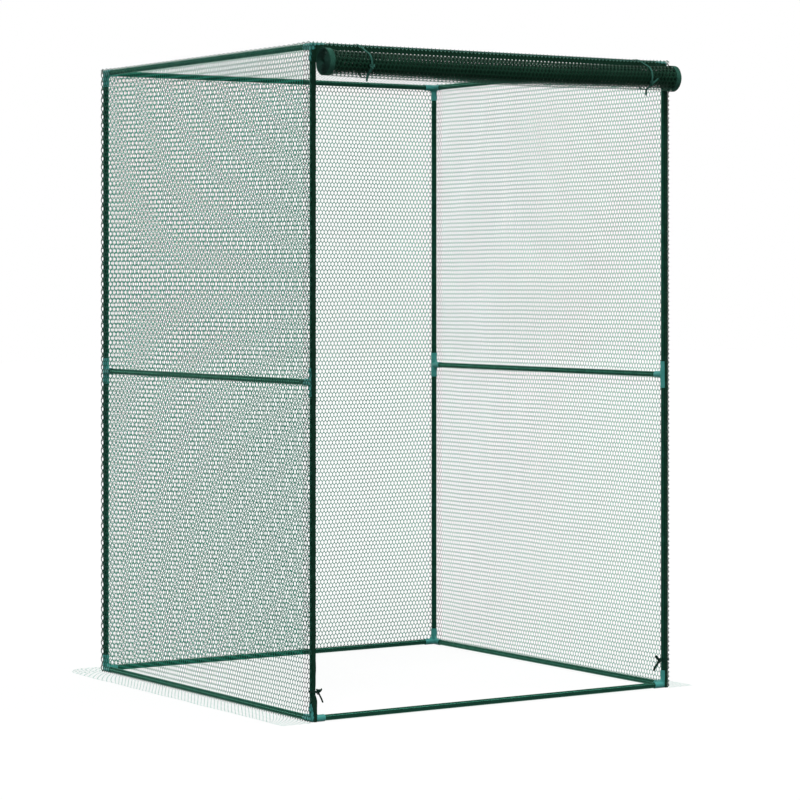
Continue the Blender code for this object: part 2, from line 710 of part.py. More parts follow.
def add_post_tie(cage, name, sign_x, height):
    """A tape round the foot of a front post and its hem, knotted on the doorway side, with two tails."""
    route = [Vector((sign_x * point.x, point.y, 0)) for point in tie_route()]
    loop = solid_strip("tie_loop", route, (0, 0, STRAP_WIDTH), closed=True)
    into = -sign_x
    centre = Vector((into * (TUBE_RADIUS + 2 * SEAT_GAP + KNOT_DEPTH / 2), TIE_KNOT_Y, 0))
    long_end = centre + Vector((into * TIE_TAIL, 0, -TIE_TAIL_FALL))
    short_end = centre + Vector((into * TIE_TAIL, 0, TIE_TAIL * SHORT_TAIL_RISE))
    joins = [
        knot_mesh("tie_knot", centre, (KNOT_DEPTH, KNOT_WIDTH, KNOT_LENGTH)),
        solid_strip("tie_long_tail", [centre, long_end], (0, STRAP_WIDTH, 0)),
        solid_strip("tie_short_tail", [centre, short_end], (0, 0, STRAP_WIDTH)),
    ]
    mesh = shaped(cage, name, loop, joins, [])
    cage.add(name, mesh, cage.tie_tape, (sign_x * POST_X, -POST_Y, height))


def make_ties(cage):
    add_strap(cage, "roll_strap_left", -DOOR_HALF_WIDTH + STRAP_INSET_LEFT)
    add_strap(cage, "roll_strap_right", DOOR_HALF_WIDTH - STRAP_INSET_RIGHT)
    add_post_tie(cage, "post_tie_left", -1, TIE_HEIGHT_LEFT)
    add_post_tie(cage, "post_tie_right", 1, TIE_HEIGHT_RIGHT)


def main():
    clear_scene()
    cage = Cage()
    make_posts(cage)
    make_rails(cage)
    make_connectors(cage)
    make_walls(cage)
    make_roof(cage)
    make_hems(cage)
    make_skirts(cage)
    make_door(cage)
    make_ties(cage)


main()
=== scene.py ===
"""The looks of the crop cage.

It has a fine net, coated tubes, moulded connectors, hems, tapes and a rolled door.
"""

import json
import math

import bmesh
import bpy
import numpy as np
from mathutils import Matrix, Vector


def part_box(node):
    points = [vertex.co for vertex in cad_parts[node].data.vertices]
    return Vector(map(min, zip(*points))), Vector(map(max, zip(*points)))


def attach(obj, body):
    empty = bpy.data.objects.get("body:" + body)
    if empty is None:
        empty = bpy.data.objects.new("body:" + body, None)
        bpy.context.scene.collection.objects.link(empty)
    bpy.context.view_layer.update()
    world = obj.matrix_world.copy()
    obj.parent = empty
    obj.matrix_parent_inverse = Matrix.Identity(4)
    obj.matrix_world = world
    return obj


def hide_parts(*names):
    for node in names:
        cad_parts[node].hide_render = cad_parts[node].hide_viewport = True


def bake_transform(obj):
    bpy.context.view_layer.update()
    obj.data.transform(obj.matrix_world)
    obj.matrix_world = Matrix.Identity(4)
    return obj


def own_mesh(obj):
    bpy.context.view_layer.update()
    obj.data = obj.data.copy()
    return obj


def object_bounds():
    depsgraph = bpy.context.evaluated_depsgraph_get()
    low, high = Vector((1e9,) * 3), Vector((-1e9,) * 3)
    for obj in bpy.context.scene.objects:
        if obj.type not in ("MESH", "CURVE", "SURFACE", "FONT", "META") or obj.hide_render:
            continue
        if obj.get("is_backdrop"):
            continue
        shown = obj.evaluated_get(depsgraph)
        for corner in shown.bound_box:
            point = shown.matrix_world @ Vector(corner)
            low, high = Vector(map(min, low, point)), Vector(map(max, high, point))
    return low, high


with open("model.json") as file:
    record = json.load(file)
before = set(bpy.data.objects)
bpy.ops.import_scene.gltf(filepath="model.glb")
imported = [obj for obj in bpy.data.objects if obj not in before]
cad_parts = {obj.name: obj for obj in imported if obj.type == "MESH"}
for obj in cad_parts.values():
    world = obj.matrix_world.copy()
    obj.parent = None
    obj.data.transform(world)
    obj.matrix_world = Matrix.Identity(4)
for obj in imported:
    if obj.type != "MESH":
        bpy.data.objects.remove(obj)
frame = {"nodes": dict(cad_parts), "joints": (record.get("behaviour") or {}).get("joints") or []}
CAD_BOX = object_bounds()


def middle(node):
    low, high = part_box(node)
    return (low + high) / 2


# Places read from the frame
POST_X = middle("post_front_right_lower").x
FRONT_Y = middle("post_front_left_lower").y
BACK_Y = middle("post_back_left_lower").y
MIDDLE_Y = (FRONT_Y + BACK_Y) / 2
BOTTOM_Z = middle("bottom_rail_front").z
TOP_Z = middle("top_rail_front").z
MID_Z = middle("mid_rail_left").z
JOINTS = {joint["name"]: joint for joint in frame["joints"]}
ROLL_Y, ROLL_Z = JOINTS["door_unroll"]["pos_m"][1:]
NET_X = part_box("right_net")[0].x
NET_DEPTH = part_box("back_net")[0].y - MIDDLE_Y
SIDE_HALF = (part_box("left_net")[1].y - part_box("left_net")[0].y) / 2
COVER_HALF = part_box("back_net")[1].x
WALL_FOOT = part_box("back_net")[0].z
WALL_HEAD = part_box("back_net")[1].z
ROOF_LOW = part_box("roof_net")[0].z
SKIRT_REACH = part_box("skirt_right")[1].x
SKIRT_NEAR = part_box("skirt_right")[0].x
DOOR_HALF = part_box("door_tape_right")[1].x
HEADER_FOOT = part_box("front_header_hem")[0].z
HEADER_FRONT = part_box("front_header_hem")[0].y
LEAD_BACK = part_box("door_lead")[1].y
LEAD_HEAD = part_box("door_lead")[1].z

# Frame, in metres
TUBE_RADIUS = 0.008
TUBE_WALL = 0.0008
TUBE_RIM = 0.0003
CONNECTOR_RADIUS = 0.0095
BORE_RADIUS = 0.0083
SOCKET_STOP = 0.012
SOCKET_LIP = 0.0012
RAIL_ARM = 0.036
POST_ARM = 0.041
TEE_ARM = 0.038
TEE_STOP = 0.003
WEB_THICKNESS = 0.0075
WEB_RADIUS = 0.016
WEB_STEPS = 12

# Net. RISE is a zigzag's height in cell widths. Each set of widths holds the width of the
# zigzags, the width of the uprights and the strands' height. Strands are wider than on a real
# net, so that each net looks as dense as in the photograph.
RISE = 0.5
WALL_COLUMNS = 96
WALL_ROWS = 144
NET_WIDTHS = (0.0024, 0.0024, 0.0005)
LEFT_STRANDS = 1.06
RIGHT_STRANDS = 0.94
ROOF_WIDTHS = (0.0017, 0.0011, 0.00005)
SKIRT_WIDTHS = (0.0009, 0.0030, 0.00006)
SLANT_WIDTHS = (0.0012, 0.0050, 0.00006)
LEAD_WIDTHS = (0.0036, 0.0064, 0.0004)
HEADER_END_WIDTHS = (0.0020, 0.0020, 0.0005)
WELD = 0.00002
LIFT = 0.0002

# Skirt: how far its left strands lean, and the ridges of the back one
SKIRT_ROWS = 7
SKIRT_SLANT = 1.0
BUNCH_PITCH = 0.025
BUNCH_SHIFT = 0.0036

# Rolled door. A fold is a few close turns. FOLD_PITCH is the step in radius to the next fold,
# taken over the last FOLD_STEP of a turn. The two tables hold places along the roll and, at
# each, how slack its outer turn is and how far it sags.
ROLL_RADIUS = 0.0375
CORE_RADIUS = 0.004
ROLL_COLUMNS = 46
ROLL_ROWS = 132
DOOR_LENGTH = 1.66
FIRST_FOLD = 3.0
NEXT_FOLDS = 1.35
FOLD_PITCH = 0.0048
FOLD_STEP = 0.25
TURN_PITCH = 0.0005
SPIRAL_TURNS = 16
TURN_STEPS = 240
BODY_SHARE = 0.93
SLACK_ALONG = (
    (-0.57, -0.50, -0.25, -0.08, 0.02, 0.12, 0.50),
    (0.12, 0.26, 0.20, 0.08, 0.12, 0.22, 0.25),
)
SAG_ALONG = (
    (-0.572, -0.54, -0.22, 0.18, 0.46, 0.572),
    (0.002, 0.0038, 0.0062, 0.0060, 0.0016, 0.0),
)
LEAD_COLUMNS = 92
LEAD_ROWS = 5

# Hems, straps and ties
HEM_THICKNESS = 0.0008
TAPE_WIDTH = 0.016
TAPE_THICKNESS = 0.0006
TAPE_PROFILE = ((-1, -0.3), (-0.9, 0.5), (0, 0.6), (0.9, 0.5), (1, -0.3), (0, -0.5))
STRAP_PLANE = 0.0135
STRAP_TAPE = (0.0058, 0.0008)
TIE_TAPE = (0.0050, 0.0008)
TIE_ROUND = 0.0089
TIE_HEIGHT = {"left": 0.081, "right": 0.080}

# Studio
FLOOR_SHADE = 0.14
AMBIENT = 0.42
CAMERA_PLACE = (-4.5332, -7.0291 + MIDDLE_Y, 1.1630)
CAMERA_TURN = -math.radians(33.283)


# Shader maths
class Value:
    """One value inside a material; arithmetic on it adds the nodes that work it out."""

    def __init__(self, tree, socket):
        self.tree = tree
        self.socket = socket

    def math(self, operation, *others):
        node = self.tree.nodes.new("ShaderNodeMath")
        node.operation = operation
        for i, value in enumerate((self, *others)):
            if isinstance(value, Value):
                self.tree.links.new(value.socket, node.inputs[i])
            else:
                node.inputs[i].default_value = value
        return Value(self.tree, node.outputs[0])

    def __add__(self, other):
        return self.math("ADD", other)

    def __sub__(self, other):
        return self.math("SUBTRACT", other)

    def __mul__(self, other):
        return self.math("MULTIPLY", other)

    def __radd__(self, other):
        return self + other

    def __rmul__(self, other):
        return self * other

    def __rsub__(self, other):
        return self * -1.0 + other

    def sine(self):
        return self.math("SINE")

    def absolute(self):
        return self.math("ABSOLUTE")

    def maximum(self, other):
        return self.math("MAXIMUM", other)

    def step(self, low, high):
        """0 below low, 1 above high, smooth between."""
        node = self.tree.nodes.new("ShaderNodeMapRange")
        node.interpolation_type = "SMOOTHSTEP"
        node.inputs["From Min"].default_value = low
        node.inputs["From Max"].default_value = high
        self.tree.links.new(self.socket, node.inputs["Value"])
        return Value(self.tree, node.outputs["Result"])


class Paint:
    """A procedural material under construction."""

    def __init__(self, name, roughness, metallic=0.0, **uniform):
        self.material = bpy.data.materials.new(name)
        self.material.use_nodes = True
        self.tree = self.material.node_tree
        self.shader = self.tree.nodes["Principled BSDF"]
        self.shader.inputs["Roughness"].default_value = roughness
        self.shader.inputs["Metallic"].default_value = metallic
        for socket, value in uniform.items():
            self.shader.inputs[socket.replace("_", " ")].default_value = value
        self.place = self.node("ShaderNodeTexCoord").outputs["Object"]

    def node(self, kind, links=(), **settings):
        """A new node, with its settings, and a value or a link for each socket named."""
        node = self.tree.nodes.new(kind)
        for name, value in settings.items():
            setattr(node, name, value)
        for name, value in dict(links).items():
            if isinstance(value, Value):
                value = value.socket
            if isinstance(value, bpy.types.NodeSocket):
                self.tree.links.new(value, node.inputs[name])
            else:
                node.inputs[name].default_value = value
        return node

    def axes(self):
        split = self.node("ShaderNodeSeparateXYZ", {"Vector": self.place})
        return [Value(self.tree, output) for output in split.outputs]

    def noise(self, scale, detail=2.0, stretch=None):
        place = self.place
        if stretch:
            mapping = self.node("ShaderNodeMapping", {"Vector": place, "Scale": stretch})
            place = mapping.outputs["Vector"]
        links = {"Vector": place, "Scale": scale, "Detail": detail}
        return Value(self.tree, self.node("ShaderNodeTexNoise", links).outputs["Fac"])

    def mix(self, factor, first, second):
        """A colour between two, each a colour or a node's output."""
        node = self.node("ShaderNodeMix", data_type="RGBA")
        self.tree.links.new(factor.socket, node.inputs["Factor"])
        for socket, value in ((node.inputs[6], first), (node.inputs[7], second)):
            if isinstance(value, bpy.types.NodeSocket):
                self.tree.links.new(value, socket)
            else:
                socket.default_value = (*value, 1.0)
        return node.outputs[2]

    def colour(self, output):
        self.tree.links.new(output, self.shader.inputs["Base Color"])
        return self

    def rough(self, value):
        self.tree.links.new(value.socket, self.shader.inputs["Roughness"])
        return self

    def bump(self, height, distance, strength=1.0):
        links = {"Height": height, "Distance": distance, "Strength": strength}
        bump = self.node("ShaderNodeBump", links)
        self.tree.links.new(bump.outputs["Normal"], self.shader.inputs["Normal"])
        return self


def tube_paint():
    """Dark green enamel on steel tube, with faint clouding."""
    tint = (0.25, 1.0, 0.74, 1.0)
    paint = Paint("coated_tube", 0.26, 0.6, Specular_IOR_Level=0.3, Specular_Tint=tint)
    clouds = paint.noise(26.0, 3.0)
    grain = paint.noise(900.0, 2.0)
    dark, light = (0.0045, 0.032, 0.019), (0.0065, 0.042, 0.026)
    paint.colour(paint.mix(clouds.step(0.3, 0.7), dark, light))
    paint.rough(grain * 0.12 + clouds * 0.08 + 0.16)
    return paint.bump(grain + clouds * 2.0, 0.00006).material


def connector_paint():
    """Teal moulded plastic with a fine spark grain."""
    tint = (0.4, 1.0, 0.95, 1.0)
    paint = Paint("connector_plastic", 0.42, Specular_IOR_Level=0.2, Specular_Tint=tint)
    clouds = paint.noise(40.0, 2.0)
    grain = paint.noise(1600.0, 2.0)
    dark, light = (0.060, 0.325, 0.292), (0.084, 0.392, 0.356)
    paint.colour(paint.mix(clouds.step(0.25, 0.75), dark, light))
    paint.rough(grain * 0.20 + 0.32)
    return paint.bump(grain, 0.00005).material


def painted_frame_shade_mask(paint):
    """1 where a wall net lies on a post or a rail, 0 between them: where the net takes painted
    shade.
    """
    x, y, z = paint.axes()
    y = y - MIDDLE_Y
    reach = POST_X - TUBE_RADIUS
    at_wall = (reach - 0.006, reach + 0.002)
    side_wall = x.absolute().step(*at_wall)
    back_wall = y.step(*at_wall)
    posts = y.absolute().step(reach - 0.026, reach - 0.021)
    half = (TOP_Z - BOTTOM_Z) / 2
    ends = (z - (TOP_Z + BOTTOM_Z) / 2).absolute().step(half - 0.011, half - 0.008)
    mid_rail = (z - MID_Z).absolute().step(TUBE_RADIUS + 0.003, TUBE_RADIUS)
    on_side = side_wall * posts.maximum(ends).maximum(mid_rail)
    return on_side.maximum(back_wall * side_wall.maximum(ends))


def net_paint(name, dark, light, over_frame=False, slack=None):
    """Extruded net plastic whose strands vary a little.

    It can take painted shade where it lies on the frame, and painted light low on the roll's loose
    underside, as if light shone through the thin net.
    """
    paint = Paint(name, 0.5, Specular_IOR_Level=0.1, Specular_Tint=(0.25, 1.0, 0.72, 1.0))
    clouds = paint.noise(14.0, 3.0)
    fine = paint.noise(300.0, 2.0)
    colour = paint.mix((clouds + fine * 0.5).step(0.45, 1.0), dark, light)
    if over_frame:
        # Painted shade: strands lying on the posts and rails darken towards a shaded copy of their
        # colour
        shaded = tuple(value * 0.12 for value in light)
        colour = paint.mix(painted_frame_shade_mask(paint) * 0.88, colour, shaded)
    # Painted light: low on the roll the strands turn lighter, as if lit through the thin net
    if slack:
        height = paint.axes()[2]
        colour = paint.mix(height.step(ROLL_Z - 0.025, ROLL_Z - 0.037), colour, slack)
    paint.colour(colour)
    paint.rough(fine * 0.25 + 0.38)
    return paint.bump(fine, 0.00005).material


def woven_paint(name, dark, light, thread=0.0011, inside=None):
    """Woven binding of crossing threads, worn lighter in patches.

    On the roll its inner turns take the darker colour inside: painted shade between the turns.
    """
    paint = Paint(name, 0.8, Specular_IOR_Level=0.08, Sheen_Weight=0.03)
    x, y, z = paint.axes()
    turn = 2 * math.pi / thread
    along = ((x + y) * turn).sine()
    across = (z * turn).sine()
    weave = along * across
    patches = paint.noise(55.0, 3.0)
    shade = (patches + weave * 0.18).step(0.25, 0.85)
    colour = paint.mix(shade, dark, light)
    # Painted shade: the binding's inner turns on the roll darken by their radius
    if inside:
        y, z = y - ROLL_Y, z - ROLL_Z
        radius = (y * y + z * z).math("SQRT")
        painted_inner_shade = radius.step(ROLL_RADIUS - 0.0015, ROLL_RADIUS - 0.0060)
        colour = paint.mix(painted_inner_shade, colour, inside)
    paint.colour(colour)
    paint.rough(0.9 - weave.step(-1.0, 1.0) * 0.16)
    return paint.bump(weave + patches, 0.00012).material


def seen_rays(tree):
    """1 for rays from the camera, in gloss and through glass, and 0 for all that give light."""
    ray = tree.nodes.new("ShaderNodeLightPath").outputs
    seen = Value(tree, ray["Is Camera Ray"])
    for name in ("Is Glossy Ray", "Is Transmission Ray"):
        seen = seen.maximum(Value(tree, ray[name]))
    return seen


def floor_paint():
    """Pale floor: white to the camera and in gloss, and still taking the object's shadow."""
    paint = Paint("studio_floor", 0.9, Specular_IOR_Level=0.0)
    inputs = paint.shader.inputs
    inputs["Base Color"].default_value = (FLOOR_SHADE, FLOOR_SHADE, FLOOR_SHADE, 1.0)
    inputs["Emission Color"].default_value = (1.0, 1.0, 1.0, 1.0)
    strength = seen_rays(paint.tree) * (1.0 - FLOOR_SHADE * 0.8)
    paint.tree.links.new(strength.socket, inputs["Emission Strength"])
    return paint.material


# Mesh helpers
def closed(mesh):
    """Fills the open ends of strands and turns every face outward."""
    bm = bmesh.new()
    bm.from_mesh(mesh)
    ends = [edge for edge in bm.edges if edge.is_boundary]
    if ends:
        bmesh.ops.holes_fill(bm, edges=ends, sides=8)
    bmesh.ops.recalc_face_normals(bm, faces=bm.faces[:])
    bm.to_mesh(mesh)
    bm.free()
    return mesh


def remap(mesh, place):
    """Moves every point of a mesh by a function of arrays x, y, z."""
    points = np.zeros(len(mesh.vertices) * 3, np.float32)
    mesh.vertices.foreach_get("co", points)
    x, y, z = points.reshape(-1, 3).T.astype(float)
    moved = np.stack(np.broadcast_arrays(*place(x, y, z)), axis=1)
    mesh.vertices.foreach_set("co", moved.astype(np.float32).ravel())
    mesh.update()
    return mesh


def evaluated(holder):
    """The mesh of an object with its modifiers applied; the object is removed."""
    bpy.context.view_layer.update()
    finished = holder.evaluated_get(bpy.context.evaluated_depsgraph_get())
    mesh = bpy.data.meshes.new_from_object(finished)
    bpy.data.objects.remove(holder)
    return mesh


def holder_of(data):
    """An object that holds a mesh while its modifiers shape it."""
    holder = bpy.data.objects.new("holder", data)
    bpy.context.scene.collection.objects.link(holder)
    return holder


def piece(name, mesh, body, material, replaces=(), smooth=None):
    """A finished piece: its material, its body and the nodes that it stands for.

    body is one body's name, which the piece is attached to; or two bodies with two places, which
    are not used, and the piece then stays where it is built.
    """
    mesh.materials.clear()
    mesh.materials.append(material)
    if smooth is not None:
        mesh.shade_smooth()
        mesh.set_sharp_from_angle(angle=math.radians(smooth))
    made = bpy.data.objects.new(name, mesh)
    bpy.context.scene.collection.objects.link(made)
    if replaces:
        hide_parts(*replaces)
    if isinstance(body, str):
        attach(made, body)
    else:
        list(body[:2])
        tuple(body[2])
        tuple(body[3])
        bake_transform(made)
    return made


def mesh_from(bm, name, outward=True):
    """A mesh from a bmesh, which is freed. Its faces are turned outward unless told not to."""
    if outward:
        bmesh.ops.recalc_face_normals(bm, faces=bm.faces[:])
    mesh = bpy.data.meshes.new(name)
    bm.to_mesh(mesh)
    bm.free()
    return mesh


def joined(name, meshes):
    bm = bmesh.new()
    for mesh in meshes:
        bm.from_mesh(mesh)
    return mesh_from(bm, name)


def thickened(mesh, thickness):
    """A flat mesh made a closed one of a thickness, half of it on each side."""
    holder = holder_of(mesh)
    solid = holder.modifiers.new("thickness", "SOLIDIFY")
    solid.thickness = thickness
    solid.offset = 0
    return evaluated(holder)


def within(distance, half, fade):
    """0 at half a width from the middle and beyond, 1 further in than fade."""
    return np.clip((half - np.abs(distance)) / fade, 0, 1)


# Net
def prism(bm, points, sides, height, ends):
    """A three-sided strand through points; sides gives half its width as a vector at each point."""
    rings = []
    for point, side in zip(points, sides):
        point, side = Vector(point), Vector(side)
        top = point + Vector((0, 0, height))
        rings.append([bm.verts.new(place) for place in (point - side, point + side, top)])
    for before, after in zip(rings, rings[1:]):
        for i in range(3):
            bm.faces.new((before[i], before[(i + 1) % 3], after[(i + 1) % 3], after[i]))
    if ends:
        bm.faces.new(rings[0])
        bm.faces.new(rings[-1])


def net_rows(columns, count, first_y, pitch_x, pitch_y, staggered, widths):
    """Every other row of a net: a zigzag and the uprights that stand on its peaks."""
    zigzag, upright, height = widths
    rise = RISE * pitch_x
    slope = rise / (pitch_x / 2)
    half = zigzag / 2 * math.sqrt(1 + slope * slope)
    ends_y, mid_y = (0, rise) if staggered else (rise, 0)
    bm = bmesh.new()
    points = [(0, ends_y, 0), (pitch_x / 2, mid_y, 0), (pitch_x, ends_y, 0)]
    prism(bm, points, [(0, half, 0)] * 3, height, False)
    x = pitch_x / 2 if staggered else 0
    prism(bm, [(x, rise, 0), (x, pitch_y, 0)], [(upright / 2, 0, 0)] * 2, height * 0.9, True)
    holder = holder_of(mesh_from(bm, "net_cell", outward=False))
    for axis, number, offset in ((0, columns, pitch_x), (1, count, 2 * pitch_y)):
        array = holder.modifiers.new("repeat", "ARRAY")
        array.use_relative_offset = False
        array.use_constant_offset = True
        array.count = number
        array.constant_offset_displace = (offset, 0, 0) if axis == 0 else (0, offset, 0)
        array.use_merge_vertices = axis == 0
        array.merge_threshold = WELD
    mesh = evaluated(holder)
    mesh.transform(Matrix.Translation((0, first_y, 0)))
    return mesh


def net(
    name,
    width,
    height,
    columns,
    rows,
    first_row=0,
    last_row=None,
    borders="lrbt",
    widths=NET_WIDTHS,
):
    """A flat net in XY, its width centred on X, its height from 0, its strands rising along Z.

    borders names the bound edges: left, right, bottom and top.
    """
    last_row = rows if last_row is None else last_row
    pitch_x, pitch_y = width / columns, height / rows
    bm = bmesh.new()
    for staggered in (0, 1):
        taken = [row for row in range(first_row, last_row) if row % 2 == staggered]
        if taken:
            at = (taken[0] * pitch_y, pitch_x, pitch_y, staggered, widths)
            bm.from_mesh(net_rows(columns, len(taken), *at))
    bmesh.ops.translate(bm, vec=(-width / 2, 0, 0), verts=bm.verts[:])
    low, high = first_row * pitch_y, last_row * pitch_y
    half = widths[0] / 2
    upward = np.linspace(low, high, 2 * (last_row - first_row) + 1)
    along = np.linspace(-width / 2, width / 2, 2 * columns + 1)
    lines = {
        "l": [(-width / 2, y) for y in upward],
        "r": [(width / 2, y) for y in upward],
        "b": [(x, low) for x in along],
        "t": [(x, high) for x in along],
    }
    for side in borders:
        across = (half, 0, 0) if side in "lr" else (0, half, 0)
        points = [(x, y, 0) for x, y in lines[side]]
        prism(bm, points, [across] * len(points), widths[2] * 1.1, True)
    return mesh_from(bm, name, outward=False)


def edge_loops(bm, start, end, count, low, high, across, height):
    """The net's outermost strand, whose loops stand up and down along Z between two points."""
    start, end = Vector(start), Vector(end)
    points = []
    for i in range(count + 1):
        points.append(start.lerp(end, i / count) + Vector((0, 0, high if i % 2 else low)))
    prism(bm, points, [across] * len(points), height, True)


def waver(u, v, size, seed):
    """Small smooth unevenness of a stretched net, the same for the same place."""
    phase = seed * 1.7
    return size * (
        np.sin(u * 9.1 + phase) * np.sin(v * 7.3 + 2 * phase)
        + 0.5 * np.sin(u * 23.0 + v * 17.0 + phase)
        + 0.35 * np.sin(u * 41.0 - v * 37.0 + 3 * phase)
    )


def make_walls(left_painted_shade_material, material):
    """The side and back nets, each in a lower and an upper half."""
    height = WALL_HEAD - WALL_FOOT
    half_rows = WALL_ROWS // 2

    def inside(u, v, half, fade):
        """0 at the net's edges, 1 further in than fade."""
        return within(u, half, fade) * np.clip(np.minimum(v, height - v) / fade, 0, 1)

    def outside(u, v, half):
        """How far the net bellies out between the posts and rails."""
        return LIFT + inside(u, v, half, 0.12) * (0.0009 + waver(u, v, 0.0005, 3))

    def drift(u, v, half, seed):
        """How far a strand strays along the net."""
        return inside(u, v, half, 0.05) * waver(u, v, 0.0007, seed)

    def side_wall(sign, seed):
        def place(x, y, z):
            u = x + drift(x, y, SIDE_HALF, seed)
            v = y + drift(x, y, SIDE_HALF, seed + 5)
            return sign * (NET_X + outside(x, y, SIDE_HALF) + z), MIDDLE_Y + u, WALL_FOOT + v

        return place

    def back_wall(x, y, z):
        u = x + drift(x, y, COVER_HALF, 7)
        v = y + drift(x, y, COVER_HALF, 12)
        return u, MIDDLE_Y + NET_DEPTH + outside(x, y, COVER_HALF) + z, WALL_FOOT + v

    for node, half, share, finish, place in (
        ("left_net", SIDE_HALF, LEFT_STRANDS, left_painted_shade_material, side_wall(-1, 1)),
        ("right_net", SIDE_HALF, RIGHT_STRANDS, material, side_wall(1, 2)),
        ("back_net", COVER_HALF, 1.0, material, back_wall),
    ):
        zigzag, upright, strand = NET_WIDTHS
        widths = (zigzag * share, upright * share, strand)
        for part, first in (("lower", 0), ("upper", half_rows)):
            name = f"{node}_{part}"
            rows = (WALL_ROWS, first, first + half_rows)
            mesh = net(name, 2 * half, height, WALL_COLUMNS, *rows, borders="", widths=widths)
            mesh = closed(remap(mesh, place))
            made = piece(name, mesh, "frame", finish, [node])
            flat = (2 * half, height / 2)
            0.3 * flat[0] * flat[1]


def make_roof(material, edge_highlight_material):
    """The roof net, sagging between the top rails, with the loops that stand out at its edges,
    whose lighter colour is a painted highlight.
    """
    half = COVER_HALF
    outer = half + 0.0012

    def place(x, y, z):
        inner = within(x, half - 0.02, 0.58) * within(y, half - 0.02, 0.58)
        uneven = np.clip(inner * 3, 0, 1) * waver(x, y, 0.0005, 4)
        sag = 0.007 * (1 - (1 - inner) ** 2) + uneven
        edge = within(x, half, 0.05) * within(y, half, 0.05)
        u, v = x + edge * waver(x, y, 0.0007, 8), y + edge * waver(x, y, 0.0007, 11)
        on_rails = within(np.minimum(np.abs(x), np.abs(y)), half - 0.055, 0.04)
        return u, MIDDLE_Y + v, ROOF_LOW + LIFT - sag - 0.0014 * on_rails + z

    size = (2 * half, 2 * half, WALL_COLUMNS, WALL_COLUMNS)
    mesh = net("roof_net_fine", *size, borders="", widths=ROOF_WIDTHS)
    mesh.transform(Matrix.Translation((0, -half, 0)))
    bm = bmesh.new()
    bm.from_mesh(mesh)
    for sign in (-1, 1):
        ends = (sign * outer, -half, 0), (sign * outer, half, 0)
        edge_loops(
            bm, *ends, WALL_COLUMNS, low=-0.0036, high=0.0014, across=(0.0005, 0, 0), height=0.0018
        )
    bm.to_mesh(mesh)
    bm.free()
    mesh = closed(remap(mesh, place))
    made = piece("roof_net_fine", mesh, "frame", material, ["roof_net"])
    # The loops along the front and back edges carry the painted highlight
    bm = bmesh.new()
    for out in (HEADER_FRONT - MIDDLE_Y - 0.0008, outer):
        ends = (-half, out, 0), (half, out, 0)
        count = 2 * WALL_COLUMNS
        edge_loops(
            bm, *ends, count, low=-0.0076, high=0.0002, across=(0, 0.0006, 0), height=0.0022
        )
    loops = closed(remap(mesh_from(bm, "roof_edge_loops"), place))
    edge = piece("roof_edge_loops", loops, "frame", edge_highlight_material)


def make_skirts(material):
    """Thin net lying on the ground, rounded at the back corners."""
    width = SKIRT_REACH - SKIRT_NEAR
    side = COVER_HALF
    near_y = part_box("skirt_back")[0].y

    def lie(u, v, z):
        waves = 1 + np.sin(u * 31) * np.sin(v * 53)
        return LIFT + z + 0.0004 * waves * np.clip(v / width, 0, 1)

    def bunch(x, y, z):
        """Gathers the upright strands of the back skirt into little ridges."""
        return x + BUNCH_SHIFT * np.sin(2 * math.pi * x / BUNCH_PITCH), y, z

    def side_skirt(sign):
        def place(x, y, z):
            if sign < 0:
                # The left skirt's strands lean, most of all away from its ends
                x = x - SKIRT_SLANT * y * within(x, side, 0.16)
            wavy = y + 0.0012 * np.sin(x * 19 + sign) * y / width
            return sign * (SKIRT_NEAR + wavy), MIDDLE_Y - sign * x, lie(x, y, z)

        return place

    def back_skirt(x, y, z):
        """Square ends drawn in to quarter circles round the back corners."""
        past = np.clip(np.abs(x) - SKIRT_NEAR, 0, None)
        reach = np.hypot(past, y)
        shrink = np.where(reach > 1e-9, np.maximum(past, y) / np.maximum(reach, 1e-9), 1.0)
        shrink = np.where(past > 0, shrink, 1.0)
        u = np.sign(x) * (np.minimum(np.abs(x), SKIRT_NEAR) + past * shrink)
        return u, near_y + np.maximum(y * shrink, 0.0), lie(x, y, z)

    for node, length, columns, widths, places in (
        ("skirt_left", 2 * side, 64, SLANT_WIDTHS, [side_skirt(-1)]),
        ("skirt_right", 2 * side, WALL_COLUMNS, SKIRT_WIDTHS, [side_skirt(1)]),
        ("skirt_back", 2 * SKIRT_REACH, 110, SKIRT_WIDTHS, [bunch, back_skirt]),
    ):
        name = f"{node}_fine"
        mesh = net(name, length, width, columns, SKIRT_ROWS, widths=widths)
        for place in places:
            mesh = remap(mesh, place)
        made = piece(name, closed(mesh), "frame", material, [node])
        0.3 * length * width


# Rolled door
def fold_marks():
    """Turns and radii of the rolled net: folds of a few close turns, each well inside the last."""
    turns, radii = [], []
    start, radius, turns_here = 0.0, ROLL_RADIUS - 0.0008, FIRST_FOLD
    while radius > CORE_RADIUS:
        turns += [start, start + turns_here - FOLD_STEP]
        radii += [radius, radius - TURN_PITCH * turns_here]
        start, radius, turns_here = start + turns_here, radius - FOLD_PITCH, NEXT_FOLDS
    return turns, radii


def spiral(length):
    """Radius and turned angle at each distance along the rolled net, from its outer end."""
    angles = np.linspace(0, SPIRAL_TURNS * 2 * math.pi, SPIRAL_TURNS * TURN_STEPS)
    radii = np.interp(angles / (2 * math.pi), *fold_marks())
    steps = np.hypot(np.diff(radii), radii[1:] * np.diff(angles))
    run = np.concatenate([[0], np.cumsum(steps)])
    return np.interp(length, run, radii), np.interp(length, run, angles)


def roll_sag(x):
    """How far the rolled net hangs below its bound ends."""
    return np.interp(x, *SAG_ALONG)


